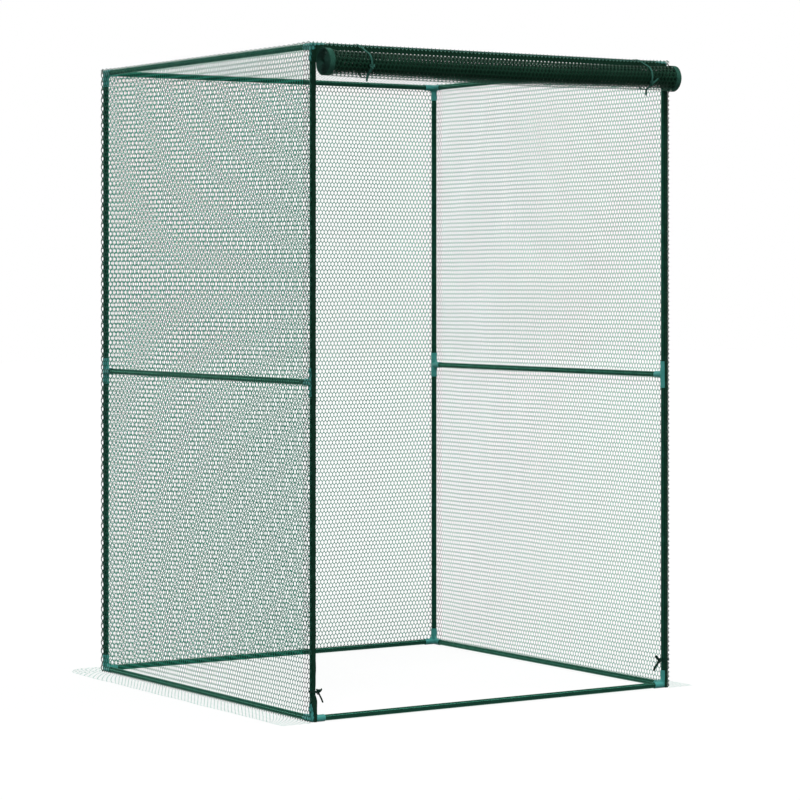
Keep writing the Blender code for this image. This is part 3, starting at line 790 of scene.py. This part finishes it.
def on_roll(along, out, x, body=1.0):
    """A place on the rolled door: along its length, out from the turn there, and at x.

    body is 1 on the net, which is thinner and sags, with its outer turn slack underneath,
    and 0 on the bindings at its ends.
    """
    radius, angle = spiral(along)
    past_first_turn = np.clip((angle / (2 * math.pi) - 0.95) * 6, 0, 1)
    under = np.clip(np.sin(angle), 0, 1) ** 2 * past_first_turn
    radius = radius * (1 - np.interp(x, *SLACK_ALONG) * under * body)
    radius = (radius + out) * (1 - (1 - BODY_SHARE) * body) + 0.0003 * np.sin(x * 13)
    low = roll_sag(x) * body
    return x, ROLL_Y + radius * np.cos(angle), ROLL_Z - radius * np.sin(angle) - low


def ribbon(name, width, length, columns, rows, thickness):
    """A flat closed strip: width centred on X, length from 0 along Y, thickness centred on Z."""
    bm = bmesh.new()
    bmesh.ops.create_grid(bm, x_segments=columns, y_segments=rows, size=0.5)
    bmesh.ops.scale(bm, vec=(width, length, 1), verts=bm.verts[:])
    bmesh.ops.translate(bm, vec=(0, length / 2, 0), verts=bm.verts[:])
    return thickened(mesh_from(bm, name, outward=False), thickness)


def make_roll(net_material, tape_material):
    """The rolled net in a left and a right half, and the binding wound at each end."""
    inner_half = DOOR_HALF - TAPE_WIDTH
    for side, sign in (("left", -1), ("right", 1)):
        name = f"door_roll_{side}_half"

        def place(x, y, z):
            x = x + sign * inner_half / 2
            return on_roll(y, z, x, within(x, inner_half, 0.02))

        mesh = net(name, inner_half, DOOR_LENGTH, ROLL_COLUMNS, ROLL_ROWS, borders="b")
        mesh = closed(remap(mesh, place))
        made = piece(name, mesh, "door_roll", net_material, ["door_roll"])

        name = f"door_binding_{side}"
        centre = sign * (DOOR_HALF - TAPE_WIDTH / 2)

        def wind(x, y, z):
            fray = 0.0006 * np.sin(y * 47 + sign) + 0.0004 * np.sin(y * 131)
            outer_edge = np.clip(sign * x / (TAPE_WIDTH / 2), 0, 1)
            return on_roll(y, z, x + centre - sign * (0.0008 - fray * outer_edge), 0.0)

        tape = ribbon(name, TAPE_WIDTH, DOOR_LENGTH, 3, 520, TAPE_THICKNESS)
        mesh = closed(remap(tape, wind))
        node = f"door_tape_{side}"
        made = piece(name, mesh, "door_roll", tape_material, [node], 50)


def make_lead(net_material, tape_material):
    """The stretch of door net from the header down to the roll, with the binding at its sides."""
    inner_half = DOOR_HALF - TAPE_WIDTH
    length = LEAD_HEAD - ROLL_Z
    body = ("frame", "door_lead", (0, LEAD_BACK, LEAD_HEAD), (0, LEAD_BACK, ROLL_Z))

    def hang(x, y, z):
        return x, LEAD_BACK - 0.0003 - z, ROLL_Z + y

    name = "door_lead_fine"
    mesh = net(name, 2 * inner_half, length, LEAD_COLUMNS, LEAD_ROWS, widths=LEAD_WIDTHS)
    mesh = closed(remap(mesh, hang))
    made = piece(name, mesh, body, net_material, ["door_lead"])
    1.2 * inner_half * length

    for side, sign in (("left", -1), ("right", 1)):
        name = f"lead_binding_{side}"
        centre = sign * (DOOR_HALF - TAPE_WIDTH / 2)

        def hang_tape(x, y, z):
            return x + centre, LEAD_BACK - 0.0006 - z, ROLL_Z + y

        tape = ribbon(name, TAPE_WIDTH, length, 3, 12, TAPE_THICKNESS)
        mesh = closed(remap(tape, hang_tape))
        piece(name, mesh, body, tape_material, (), 50)


# Hems
def pierced_band(half, levels, openings, width, thickness):
    """A closed band in XY whose second course has a row of small openings."""
    edges = [-half]
    for centre in openings:
        edges += [centre - width / 2, centre + width / 2]
    edges.append(half)
    bm = bmesh.new()
    bmesh.ops.create_grid(bm, x_segments=len(edges) - 1, y_segments=len(levels) - 1, size=0.5)
    for vert in bm.verts:
        column = round((vert.co.x + 0.5) * (len(edges) - 1))
        course = round((vert.co.y + 0.5) * (len(levels) - 1))
        vert.co = (edges[column], levels[course], 0)
    open_faces = []
    for face in bm.faces:
        centre = face.calc_center_median()
        if levels[1] < centre.y < levels[2] and np.searchsorted(edges, centre.x) % 2 == 0:
            open_faces.append(face)
    bmesh.ops.delete(bm, geom=open_faces, context="FACES")
    return thickened(mesh_from(bm, "pierced_band", outward=False), thickness)


def make_post_hems(material, height):
    """The bands down the front posts, edged by the net's last loops."""

    def slack_below(y):
        """1 where the left hem hangs slack below its tie."""
        return np.clip((TIE_HEIGHT["left"] - 0.002 - y - WALL_FOOT) / 0.020, 0, 1)

    def pulled_down(y):
        """1 where the right hem is pulled towards the knot below it."""
        return np.clip(1 - np.abs(y + WALL_FOOT - 0.068) / 0.018, 0, 1)

    # How far in the outer edge stands, the band's width, how much further in its foot stands,
    # how far and where its inner edge is drawn in, and the loops' low, high and thickness
    for side, sign, inset, width, foot_shift, more, drawn, (low, high, thick) in (
        ("left", -1, 0.0034, 0.0116, 0.0070, 0.0042, slack_below, (-0.0014, 0.0010, 0.0020)),
        ("right", 1, 0.0048, 0.0100, 0.0, 0.0100, pulled_down, (-0.0034, 0.0034, 0.0044)),
    ):
        tie = TIE_HEIGHT[side]

        def outer(y):
            return COVER_HALF - inset - foot_shift * np.clip((0.056 - y - WALL_FOOT) / 0.036, 0, 1)

        def inner(y):
            return COVER_HALF - inset - width - more * drawn(y)

        def hang(x, y, z):
            cinch = np.exp(-(((y + WALL_FOOT - tie) / 0.011) ** 2))
            narrow = 1 - 0.06 * np.clip(1 - y / 0.9, 0, 1) - 0.2 * cinch
            wavy = 0.0004 * np.sin(y * 61 + sign) + 0.0003 * np.sin(y * 143)
            share = 0.5 - sign * x / width
            across = outer(y) - share * ((outer(y) - inner(y)) * narrow + wavy)
            fold = 0.0003 * np.sin(share * 9 + y * 11) * (1 - cinch)
            return sign * across, HEADER_FRONT + 0.0005 + fold * 0.6 - z, WALL_FOOT + y

        def edge_on(x, y, z):
            return sign * (outer(y) + z), HEADER_FRONT + 0.0016 + x, WALL_FOOT + y

        name = f"post_hem_{side}_band"
        band = ribbon(name, width, height, 8, 220, HEM_THICKNESS)
        bm = bmesh.new()
        edge_loops(bm, (0, 0, 0), (0, height, 0), 284, low, high, (0.0007, 0, 0), thick)
        loops = remap(mesh_from(bm, "hem_loops", outward=False), edge_on)
        mesh = joined(name, [closed(remap(band, hang)), closed(loops)])
        piece(name, mesh, "frame", material, [f"post_hem_{side}"], 50)


def make_seams(material):
    """The strand of loops where the side and back nets meet, at each back corner."""
    corner = COVER_HALF + LIFT
    for side, sign in (("left", -1), ("right", 1)):

        def place(x, y, z):
            out = corner + 0.8 * z
            return sign * (out + x), MIDDLE_Y + corner + 0.8 * z - x, WALL_FOOT + y

        ends = (0, 0, 0), (0, WALL_HEAD - WALL_FOOT, 0)
        bm = bmesh.new()
        edge_loops(
            bm, *ends, WALL_ROWS, low=-0.0036, high=-0.0006, across=(0.0013, 0, 0), height=0.0012
        )
        seam = remap(closed(mesh_from(bm, "net_seam")), place)
        piece(f"net_seam_{side}", seam, "frame", material)


def make_header(material, foot):
    """The band along the top front rail, its row of openings and the net at its ends, in the band's
    dark colour as painted shade over the corner connectors.
    """
    half = POST_X - RAIL_ARM - 0.001
    tall = foot + 2 * TUBE_RADIUS + 0.0015 - HEADER_FOOT
    pitch = 2 * (DOOR_HALF - TAPE_WIDTH) / LEAD_COLUMNS
    columns = int(half / pitch)
    openings = [i * pitch for i in range(1 - columns, columns)]
    levels = (0, 0.0063, 0.0097, 0.0180, tall)
    band = pierced_band(half, levels, openings, 0.0042, HEM_THICKNESS)

    def hang(x, y, z):
        wavy = 0.0004 * np.sin(x * 53) + 0.0003 * np.sin(x * 117)
        fold = 0.0002 * np.sin(x * 21 + y * 270)
        hem = wavy * np.clip(1 - y / 0.006, 0, 1)
        return x, HEADER_FRONT + 0.0005 + fold - z, HEADER_FOOT + y + hem

    meshes = [closed(remap(band, hang))]
    # Painted shade: the nets at the ends take the band's dark colour, darkening the corner
    # connectors behind them
    for sign in (-1, 1):
        centre = sign * (COVER_HALF + half) / 2

        def hang_end(x, y, z):
            return x + centre, HEADER_FRONT + 0.0004 - z, foot - 0.005 + y

        size = (COVER_HALF - half, 0.0235, 4, 2)
        end = net("header_end", *size, borders="", widths=HEADER_END_WIDTHS)
        meshes.append(closed(remap(end, hang_end)))
    mesh = joined("header_band", meshes)
    piece("header_band", mesh, "frame", material, ["front_header_hem"], 50)


def make_hems(material):
    foot = TOP_Z - TUBE_RADIUS - 0.001
    make_post_hems(material, foot - 0.0006 - WALL_FOOT)
    make_seams(material)
    make_header(material, foot)


# Straps and ties
def round_points(points, steps, is_closed):
    """A smooth line through points, close enough together to bend a tape along."""
    count = len(points)
    line = []
    spans = count if is_closed else count - 1
    for i in range(spans):
        if is_closed:
            four = [points[(i + k - 1) % count] for k in range(4)]
        else:
            four = [points[min(max(i + k - 1, 0), count - 1)] for k in range(4)]
        a, b, c, d = (Vector(point) for point in four)
        for step in range(steps):
            t = step / steps
            square = (2 * a - 5 * b + 4 * c - d) * t * t
            cube = (3 * b - a - 3 * c + d) * t**3
            line.append(0.5 * (2 * b + (c - a) * t + square + cube))
    if not is_closed:
        line.append(Vector(points[-1]))
    return line


def tape_mesh(name, line, width, thickness, wide, is_closed=False):
    """A flat tape along a line. wide is the direction across it."""
    bm = bmesh.new()
    rings = []
    count = len(line)
    for i, point in enumerate(line):
        before = line[i - 1] if i or is_closed else point
        after = line[(i + 1) % count] if i < count - 1 or is_closed else point
        along = (after - before).normalized()
        across = Vector(wide)
        across = (across - along * across.dot(along)).normalized()
        out = along.cross(across)
        taper = 1.0 if is_closed else min(1.0, 0.55 + 6 * (count - 1 - i) / count)
        ring = []
        for side, lift in TAPE_PROFILE:
            place = point + across * (side * width / 2 * taper) + out * (lift * thickness)
            ring.append(bm.verts.new(place))
        rings.append(ring)
    sides = len(TAPE_PROFILE)
    for first, second in zip(rings, rings[1:] + rings[:1] if is_closed else rings[1:]):
        for k in range(sides):
            bm.faces.new((first[k], first[(k + 1) % sides], second[(k + 1) % sides], second[k]))
    if not is_closed:
        bm.faces.new(rings[0])
        bm.faces.new(rings[-1])
    return mesh_from(bm, name)


def knot_line(centre, size, lean, steps=36):
    """An overhand knot's path, flattened against what it lies on."""
    points = []
    for i in range(steps):
        t = 2 * math.pi * i / steps
        x = math.sin(t) + 2 * math.sin(2 * t)
        z = math.cos(t) - 2 * math.cos(2 * t)
        y = -1.2 * math.sin(3 * t)
        points.append(centre + lean @ Vector((x, y * 0.55, z)) * size / 3)
    return points


def around(centre, radius, angle):
    """A place on a circle about the X axis through centre."""
    across, up = radius * math.cos(angle), radius * math.sin(angle)
    return Vector((centre[0], centre[1] + across, centre[2] + up))


def knotted(centre, size, lean, thread, tails):
    """A knot of tape with its tails: each a line of points, its wide way, width and thickness."""
    meshes = [tape_mesh("knot", knot_line(centre, size, lean), *thread, (0.4, 1, 0), True)]
    for points, wide, width, thickness in tails:
        meshes.append(tape_mesh("tail", round_points(points, 6, False), width, thickness, wide))
    return meshes


def make_straps(material):
    """The tapes that hold the roll up: over the top rail, round the roll, knotted in front."""
    over = ROOF_LOW - 0.0005
    edge = HEADER_FRONT - 0.0010
    reach = ROLL_RADIUS * BODY_SHARE + 0.0008
    # The angle at which the knot lies on the roll, how far the long tail drifts along it, and
    # how far out and up the short tail reaches
    for side, turned, drift, (aside, up) in (
        ("left", 189, -0.0085, (0.007, 0.005)),
        ("right", 205, -0.0068, (0.022, 0.014)),
    ):
        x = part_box(f"roll_strap_{side}")[0].x + STRAP_PLANE
        roll = (x, ROLL_Y, ROLL_Z - float(roll_sag(x)))
        rail = (x, FRONT_Y, TOP_Z)

        points = [Vector((x, FRONT_Y + 0.0090, over)), Vector((x, edge - 0.002, over - 0.0002))]
        for angle in (math.radians(a) for a in range(112, 338, 15)):
            pressed = 1 - 0.05 * max(0.0, -math.sin(angle)) ** 2
            points.append(around(roll, reach * pressed, angle))
        points += [around(rail, 0.0091, math.radians(a)) for a in (-22, 5, 30)]
        swing = []
        for i, point in enumerate(round_points(points, 4, True)):
            swing.append(point + Vector((0.0012 * math.sin(i * 0.09), 0, 0)))
        loop = tape_mesh("strap_loop", swing, *STRAP_TAPE, (1, 0, 0.15), True)

        centre = around(roll, reach + 0.0028, math.radians(turned))
        lean = Matrix.Rotation(math.radians(turned - 212), 3, "X")
        long_points = [centre]
        for step, share in ((12, 0.3), (26, 0.6), (40, 0.85)):
            place = around(roll, reach + 0.0022, math.radians(turned + step))
            long_points.append(place + Vector((drift * share, 0, 0)))
        long_points.append(long_points[-1] + Vector((drift * 0.15, 0.001, -0.017)))
        short_points = [
            centre,
            centre + Vector((aside * 0.5, -0.0015, up * 0.35)),
            centre + Vector((aside, -0.0008, up)),
        ]
        tails = (
            (long_points, (1, -0.3, 0.2), 0.0060, 0.0010),
            (short_points, (-0.4, -0.3, 1), 0.0058, 0.0010),
        )
        name = f"door_strap_{side}"
        mesh = joined(name, [loop, *knotted(centre, 0.0072, lean, (0.0042, 0.0022), tails)])
        made = piece(name, mesh, "frame", material, [f"roll_strap_{side}"], 60)
        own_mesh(made)


def make_post_ties(material):
    """The tapes round the feet of the front posts, each knotted on the doorway side."""
    # How far in from the post the knot lies, the long tail's width, and where the two tails go
    # from the knot: inward, back and up
    for side, sign, inward, long_width, routes in (
        (
            "left",
            -1,
            0.0146,
            0.0044,
            (
                [(0, 0, 0), (0.005, -0.001, -0.011), (0.011, 0.0, -0.021), (0.016, 0.001, -0.031)],
                [(0, 0, 0), (0.006, -0.001, 0.0015), (0.012, 0.0005, 0.0055)],
            ),
        ),
        (
            "right",
            1,
            0.0196,
            0.0068,
            (
                [(0, 0, 0), (0.007, -0.001, -0.009), (0.014, 0.0, -0.018), (0.019, 0.001, -0.029)],
                [(0, 0, 0), (0.007, -0.001, 0.007), (0.013, 0.0005, 0.014)],
            ),
        ),
    ):
        height = TIE_HEIGHT[side]
        out = COVER_HALF + 0.0003 - POST_X
        route = [(out, -out), (out - 0.006, -out), (-0.0074, -out)]
        for turn in np.linspace(0, math.pi / 2, 6):
            route.append((-TIE_ROUND * math.cos(turn), TIE_ROUND * math.sin(turn)))
        for turn in np.linspace(math.pi / 8, math.pi / 2, 4):
            route.append((TIE_ROUND * math.sin(turn), TIE_ROUND * math.cos(turn)))
        points = []
        for a, b in route:
            waves = 0.0012 * math.sin(3 * a / 0.01)
            points.append(Vector((sign * (POST_X + a), FRONT_Y + b, height + waves)))
        loop = tape_mesh("tie_loop", round_points(points, 3, True), *TIE_TAPE, (0, 0, 1), True)

        centre = Vector((sign * (POST_X - inward), FRONT_Y - 0.004, height))
        lean = Matrix.Rotation(math.radians(90), 3, "Z")
        bridge = [Vector((sign * (POST_X - 0.0080), FRONT_Y - 0.006, height)), centre]
        tails = [(bridge, (0, 0.2, 1), 0.0050, 0.0012)]
        looks = (
            ((0.9, -0.4, 0.3), long_width, 0.0014),
            ((-0.3 * sign, -0.2, 1), 0.0080, 0.0022),
        )
        for points, look in zip(routes, looks):
            line = [centre + Vector((-sign * a, b, c)) for a, b, c in points]
            tails.append((line, *look))
        name = f"foot_tie_{side}"
        mesh = joined(name, [loop, *knotted(centre, 0.0068, lean, (0.0052, 0.0026), tails)])
        piece(name, mesh, "frame", material, [f"post_tie_{side}"], 60)


# Frame
def make_tubes(material):
    """Round tubes with a wall, each in the place of its node."""
    posts = [name for name in frame["nodes"] if name.startswith("post_")]
    names = [name for name in posts if name.endswith(("lower", "upper"))]
    names += [name for name in frame["nodes"] if "_rail_" in name]
    turns = (
        Matrix.Rotation(math.pi / 2, 4, "Y"),
        Matrix.Rotation(-math.pi / 2, 4, "X"),
        Matrix.Identity(4),
    )
    inside = TUBE_RADIUS - TUBE_WALL
    rim = TUBE_RADIUS - TUBE_RIM
    for name in sorted(names):
        low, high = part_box(name)
        size = high - low
        axis = max(range(3), key=lambda i: size[i])
        half = size[axis] / 2
        profile = (
            (inside, -half),
            (rim, -half),
            (TUBE_RADIUS, -half + TUBE_RIM),
            (TUBE_RADIUS, half - TUBE_RIM),
            (rim, half),
            (inside, half),
        )
        bm = bmesh.new()
        verts = [bm.verts.new((radius, 0, z)) for radius, z in profile]
        edges = [bm.edges.new((vert, verts[(i + 1) % len(verts)])) for i, vert in enumerate(verts)]
        bmesh.ops.spin(
            bm,
            geom=verts + edges,
            axis=(0, 0, 1),
            cent=(0, 0, 0),
            angle=2 * math.pi,
            steps=40,
            use_merge=True,
        )
        placed = Matrix.Translation((low + high) / 2) @ turns[axis]
        bmesh.ops.transform(bm, matrix=placed, verts=bm.verts[:])
        mesh = mesh_from(bm, name)
        piece(f"{name}_tube", mesh, "frame", material, [name], 40)


def rod(bm, radius, start, end, matrix):
    """A round bar along the matrix's third axis."""
    bmesh.ops.create_cone(
        bm,
        cap_ends=True,
        segments=40,
        radius1=radius,
        radius2=radius,
        depth=end - start,
        matrix=matrix @ Matrix.Translation((0, 0, (start + end) / 2)),
    )


def web(bm, matrix):
    """The concave web between two arms along the matrix's first two axes."""
    centre = CONNECTOR_RADIUS - 0.002 + WEB_RADIUS
    outline = [(0, 0), (centre, 0)]
    for i in range(WEB_STEPS + 1):
        angle = -math.pi / 2 - math.pi / 2 * i / WEB_STEPS
        x, y = centre + WEB_RADIUS * math.cos(angle), centre + WEB_RADIUS * math.sin(angle)
        outline.append((x, y))
    outline.append((0, centre))
    low = [bm.verts.new((x, y, -WEB_THICKNESS / 2)) for x, y in outline]
    face = bm.faces.new(low)
    swept = bmesh.ops.extrude_face_region(bm, geom=[face])["geom"]
    high = [item for item in swept if isinstance(item, bmesh.types.BMVert)]
    bmesh.ops.translate(bm, vec=(0, 0, WEB_THICKNESS), verts=high)
    bmesh.ops.transform(bm, matrix=matrix, verts=low + high)


def moulded(name, bm, bores):
    """One moulded body from overlapping solids: merged, its inner corners rounded, then bored."""
    mesh = mesh_from(bm, name)
    holder = holder_of(mesh)
    remesh = holder.modifiers.new("merge", "REMESH")
    remesh.mode = "VOXEL"
    remesh.voxel_size = 0.0006
    smooth = holder.modifiers.new("round", "SMOOTH")
    smooth.factor = 0.5
    smooth.iterations = 6
    thin = holder.modifiers.new("thin", "DECIMATE")
    thin.ratio = 0.16
    cutter = holder_of(bores)
    cut = holder.modifiers.new("sockets", "BOOLEAN")
    cut.operation = "DIFFERENCE"
    cut.solver = "EXACT"
    cut.object = cutter
    made = evaluated(holder)
    bpy.data.objects.remove(cutter)
    return made


def make_connectors(material):
    """The corners and tees, each moulded once and then mirrored into its places."""
    to_x = Matrix.Rotation(math.pi / 2, 4, "Y")
    to_y = Matrix.Rotation(-math.pi / 2, 4, "X")
    upright = Matrix.Identity(4)
    stand_x = Matrix.Rotation(math.pi / 2, 4, "X")
    stand_y = Matrix.Rotation(math.pi / 2, 4, "Z") @ Matrix.Rotation(math.pi / 2, 4, "X")
    arms = ((to_x, RAIL_ARM), (to_y, RAIL_ARM), (upright, POST_ARM))

    bm = bmesh.new()
    bmesh.ops.create_uvsphere(bm, u_segments=40, v_segments=20, radius=CONNECTOR_RADIUS)
    bores = bmesh.new()
    for matrix, reach in arms:
        rod(bm, CONNECTOR_RADIUS, 0, reach, matrix)
        rod(bores, BORE_RADIUS, SOCKET_STOP, reach + SOCKET_LIP, matrix)
    for matrix in (upright, stand_x, stand_y):
        web(bm, matrix)
    corner = moulded("corner_moulding", bm, mesh_from(bores, "corner_bores"))

    bm = bmesh.new()
    rod(bm, CONNECTOR_RADIUS, -TEE_ARM, TEE_ARM, upright)
    rod(bm, CONNECTOR_RADIUS, 0, RAIL_ARM, to_y)
    web(bm, stand_y)
    web(bm, Matrix.Rotation(math.pi, 4, "Y") @ stand_y)
    bores = bmesh.new()
    rod(bores, BORE_RADIUS, TEE_STOP, TEE_ARM + SOCKET_LIP, upright)
    rod(bores, BORE_RADIUS, -TEE_ARM - SOCKET_LIP, -TEE_STOP, upright)
    rod(bores, BORE_RADIUS, SOCKET_STOP, RAIL_ARM + SOCKET_LIP, to_y)
    tee = moulded("tee_moulding", bm, mesh_from(bores, "tee_bores"))

    def set_in_place(node, moulding, place, mirror):
        mesh = moulding.copy()
        mesh.transform(Matrix.Translation(place) @ Matrix.Diagonal((*mirror, 1)))
        name = f"{node}_moulding"
        piece(name, closed(mesh), "frame", material, [node], 35)

    for post, sx, sy in (
        ("front_left", -1, -1),
        ("front_right", 1, -1),
        ("back_left", -1, 1),
        ("back_right", 1, 1),
    ):
        base = Vector((sx * POST_X, FRONT_Y if sy < 0 else BACK_Y, 0))
        for level, z, sz in (("bottom", BOTTOM_Z, 1), ("top", TOP_Z, -1)):
            node = f"corner_{level}_{post}"
            set_in_place(node, corner, base + Vector((0, 0, z)), (-sx, -sy, sz))
        set_in_place(f"tee_{post}", tee, base + Vector((0, 0, MID_Z)), (1, -sy, 1))


# Studio
def make_studio():
    """The pale floor, the plain light and the camera, which was fitted to the photograph."""
    scene = bpy.context.scene
    bm = bmesh.new()
    bmesh.ops.create_grid(bm, x_segments=1, y_segments=1, size=30)
    floor = holder_of(mesh_from(bm, "studio_floor"))
    floor.name = "studio_floor"
    floor.data.materials.append(floor_paint())
    floor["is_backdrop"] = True

    world = bpy.data.worlds.new("studio")
    scene.world = world
    world.use_nodes = True
    background = world.node_tree.nodes["Background"]
    background.inputs["Color"].default_value = (1, 1, 1, 1)
    strength = seen_rays(world.node_tree) * (1.0 - AMBIENT) + AMBIENT
    world.node_tree.links.new(strength.socket, background.inputs["Strength"])

    for name, towards, level, spread in (
        ("key", (-2.2, -2.8, 4.4), 0.40, 14),
        ("side", (2.75, -1.7, 3.8), 0.22, 14),
        ("low", (-2.5, 4.0, 0.3), 0.30, 26),
        ("back", (1.2, 3.0, 2.4), 0.06, 30),
    ):
        light = bpy.data.lights.new(name, "SUN")
        light.energy = level * math.pi
        light.angle = math.radians(spread)
        lamp = bpy.data.objects.new(name, light)
        lamp.location = towards
        lamp.rotation_euler = (-Vector(towards)).to_track_quat("-Z", "Y").to_euler()
        scene.collection.objects.link(lamp)

    camera = bpy.data.cameras.new("camera")
    camera.lens = 128.49
    camera.sensor_width = 36
    camera.shift_x = -0.0029
    camera.shift_y = -0.1471
    camera.clip_end = 200
    eye = bpy.data.objects.new("camera", camera)
    eye.location = CAMERA_PLACE
    eye.rotation_euler = (math.pi / 2, 0, CAMERA_TURN)
    scene.collection.objects.link(eye)
    scene.camera = eye
    scene.view_settings.view_transform = "Standard"


def main():
    make_studio()
    # Painted light: the skirts lying on the floor take a paler copy of the net plastic
    ground_net_painted_light = net_paint("net_plastic", (0.120, 0.440, 0.330), (0.160, 0.520, 0.410))
    # The wall nets take painted shade where they lie on the posts and rails
    wall_net = net_paint(
        "wall_net_plastic", (0.008, 0.335, 0.215), (0.014, 0.430, 0.280), over_frame=True
    )
    # Painted shade: the left net is a darker copy of the wall net, against the key lamp lighting
    # its outside more
    left_net = net_paint(
        "left_net_plastic", (0.009, 0.210, 0.136), (0.015, 0.272, 0.178), over_frame=True
    )
    # Painted shade: the rolled and hanging door net is a far darker copy of the net plastic
    rolled_net_painted_shade = net_paint(
        "door_net_plastic",
        (0.007, 0.031, 0.017),
        (0.012, 0.050, 0.028),
        slack=(0.070, 0.240, 0.165),
    )
    make_tubes(tube_paint())
    make_connectors(connector_paint())
    make_walls(left_net, wall_net)
    # Painted highlight: the loops at the roof's edges are a lighter copy of the net plastic
    highlight_edge_net = net_paint("edge_net_plastic", (0.130, 0.330, 0.260), (0.185, 0.410, 0.330))
    make_roof(wall_net, highlight_edge_net)
    make_skirts(ground_net_painted_light)
    hem = woven_paint("hem_tape", (0.003, 0.029, 0.015), (0.007, 0.046, 0.027))
    make_hems(hem)
    # The binding's inner turns on the roll take painted shade
    binding = woven_paint(
        "door_tape", (0.018, 0.084, 0.058), (0.036, 0.145, 0.102), inside=(0.020, 0.078, 0.058)
    )
    make_roll(rolled_net_painted_shade, binding)
    make_lead(rolled_net_painted_shade, hem)
    make_straps(woven_paint("tie_tape", (0.022, 0.100, 0.074), (0.060, 0.220, 0.172), 0.0009))
    # Painted shade: the foot ties are a darker copy of the strap tape
    make_post_ties(woven_paint("foot_tape", (0.005, 0.026, 0.017), (0.011, 0.048, 0.033), 0.0009))
    [[list(corner) for corner in box] for box in (CAD_BOX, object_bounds())]


main()
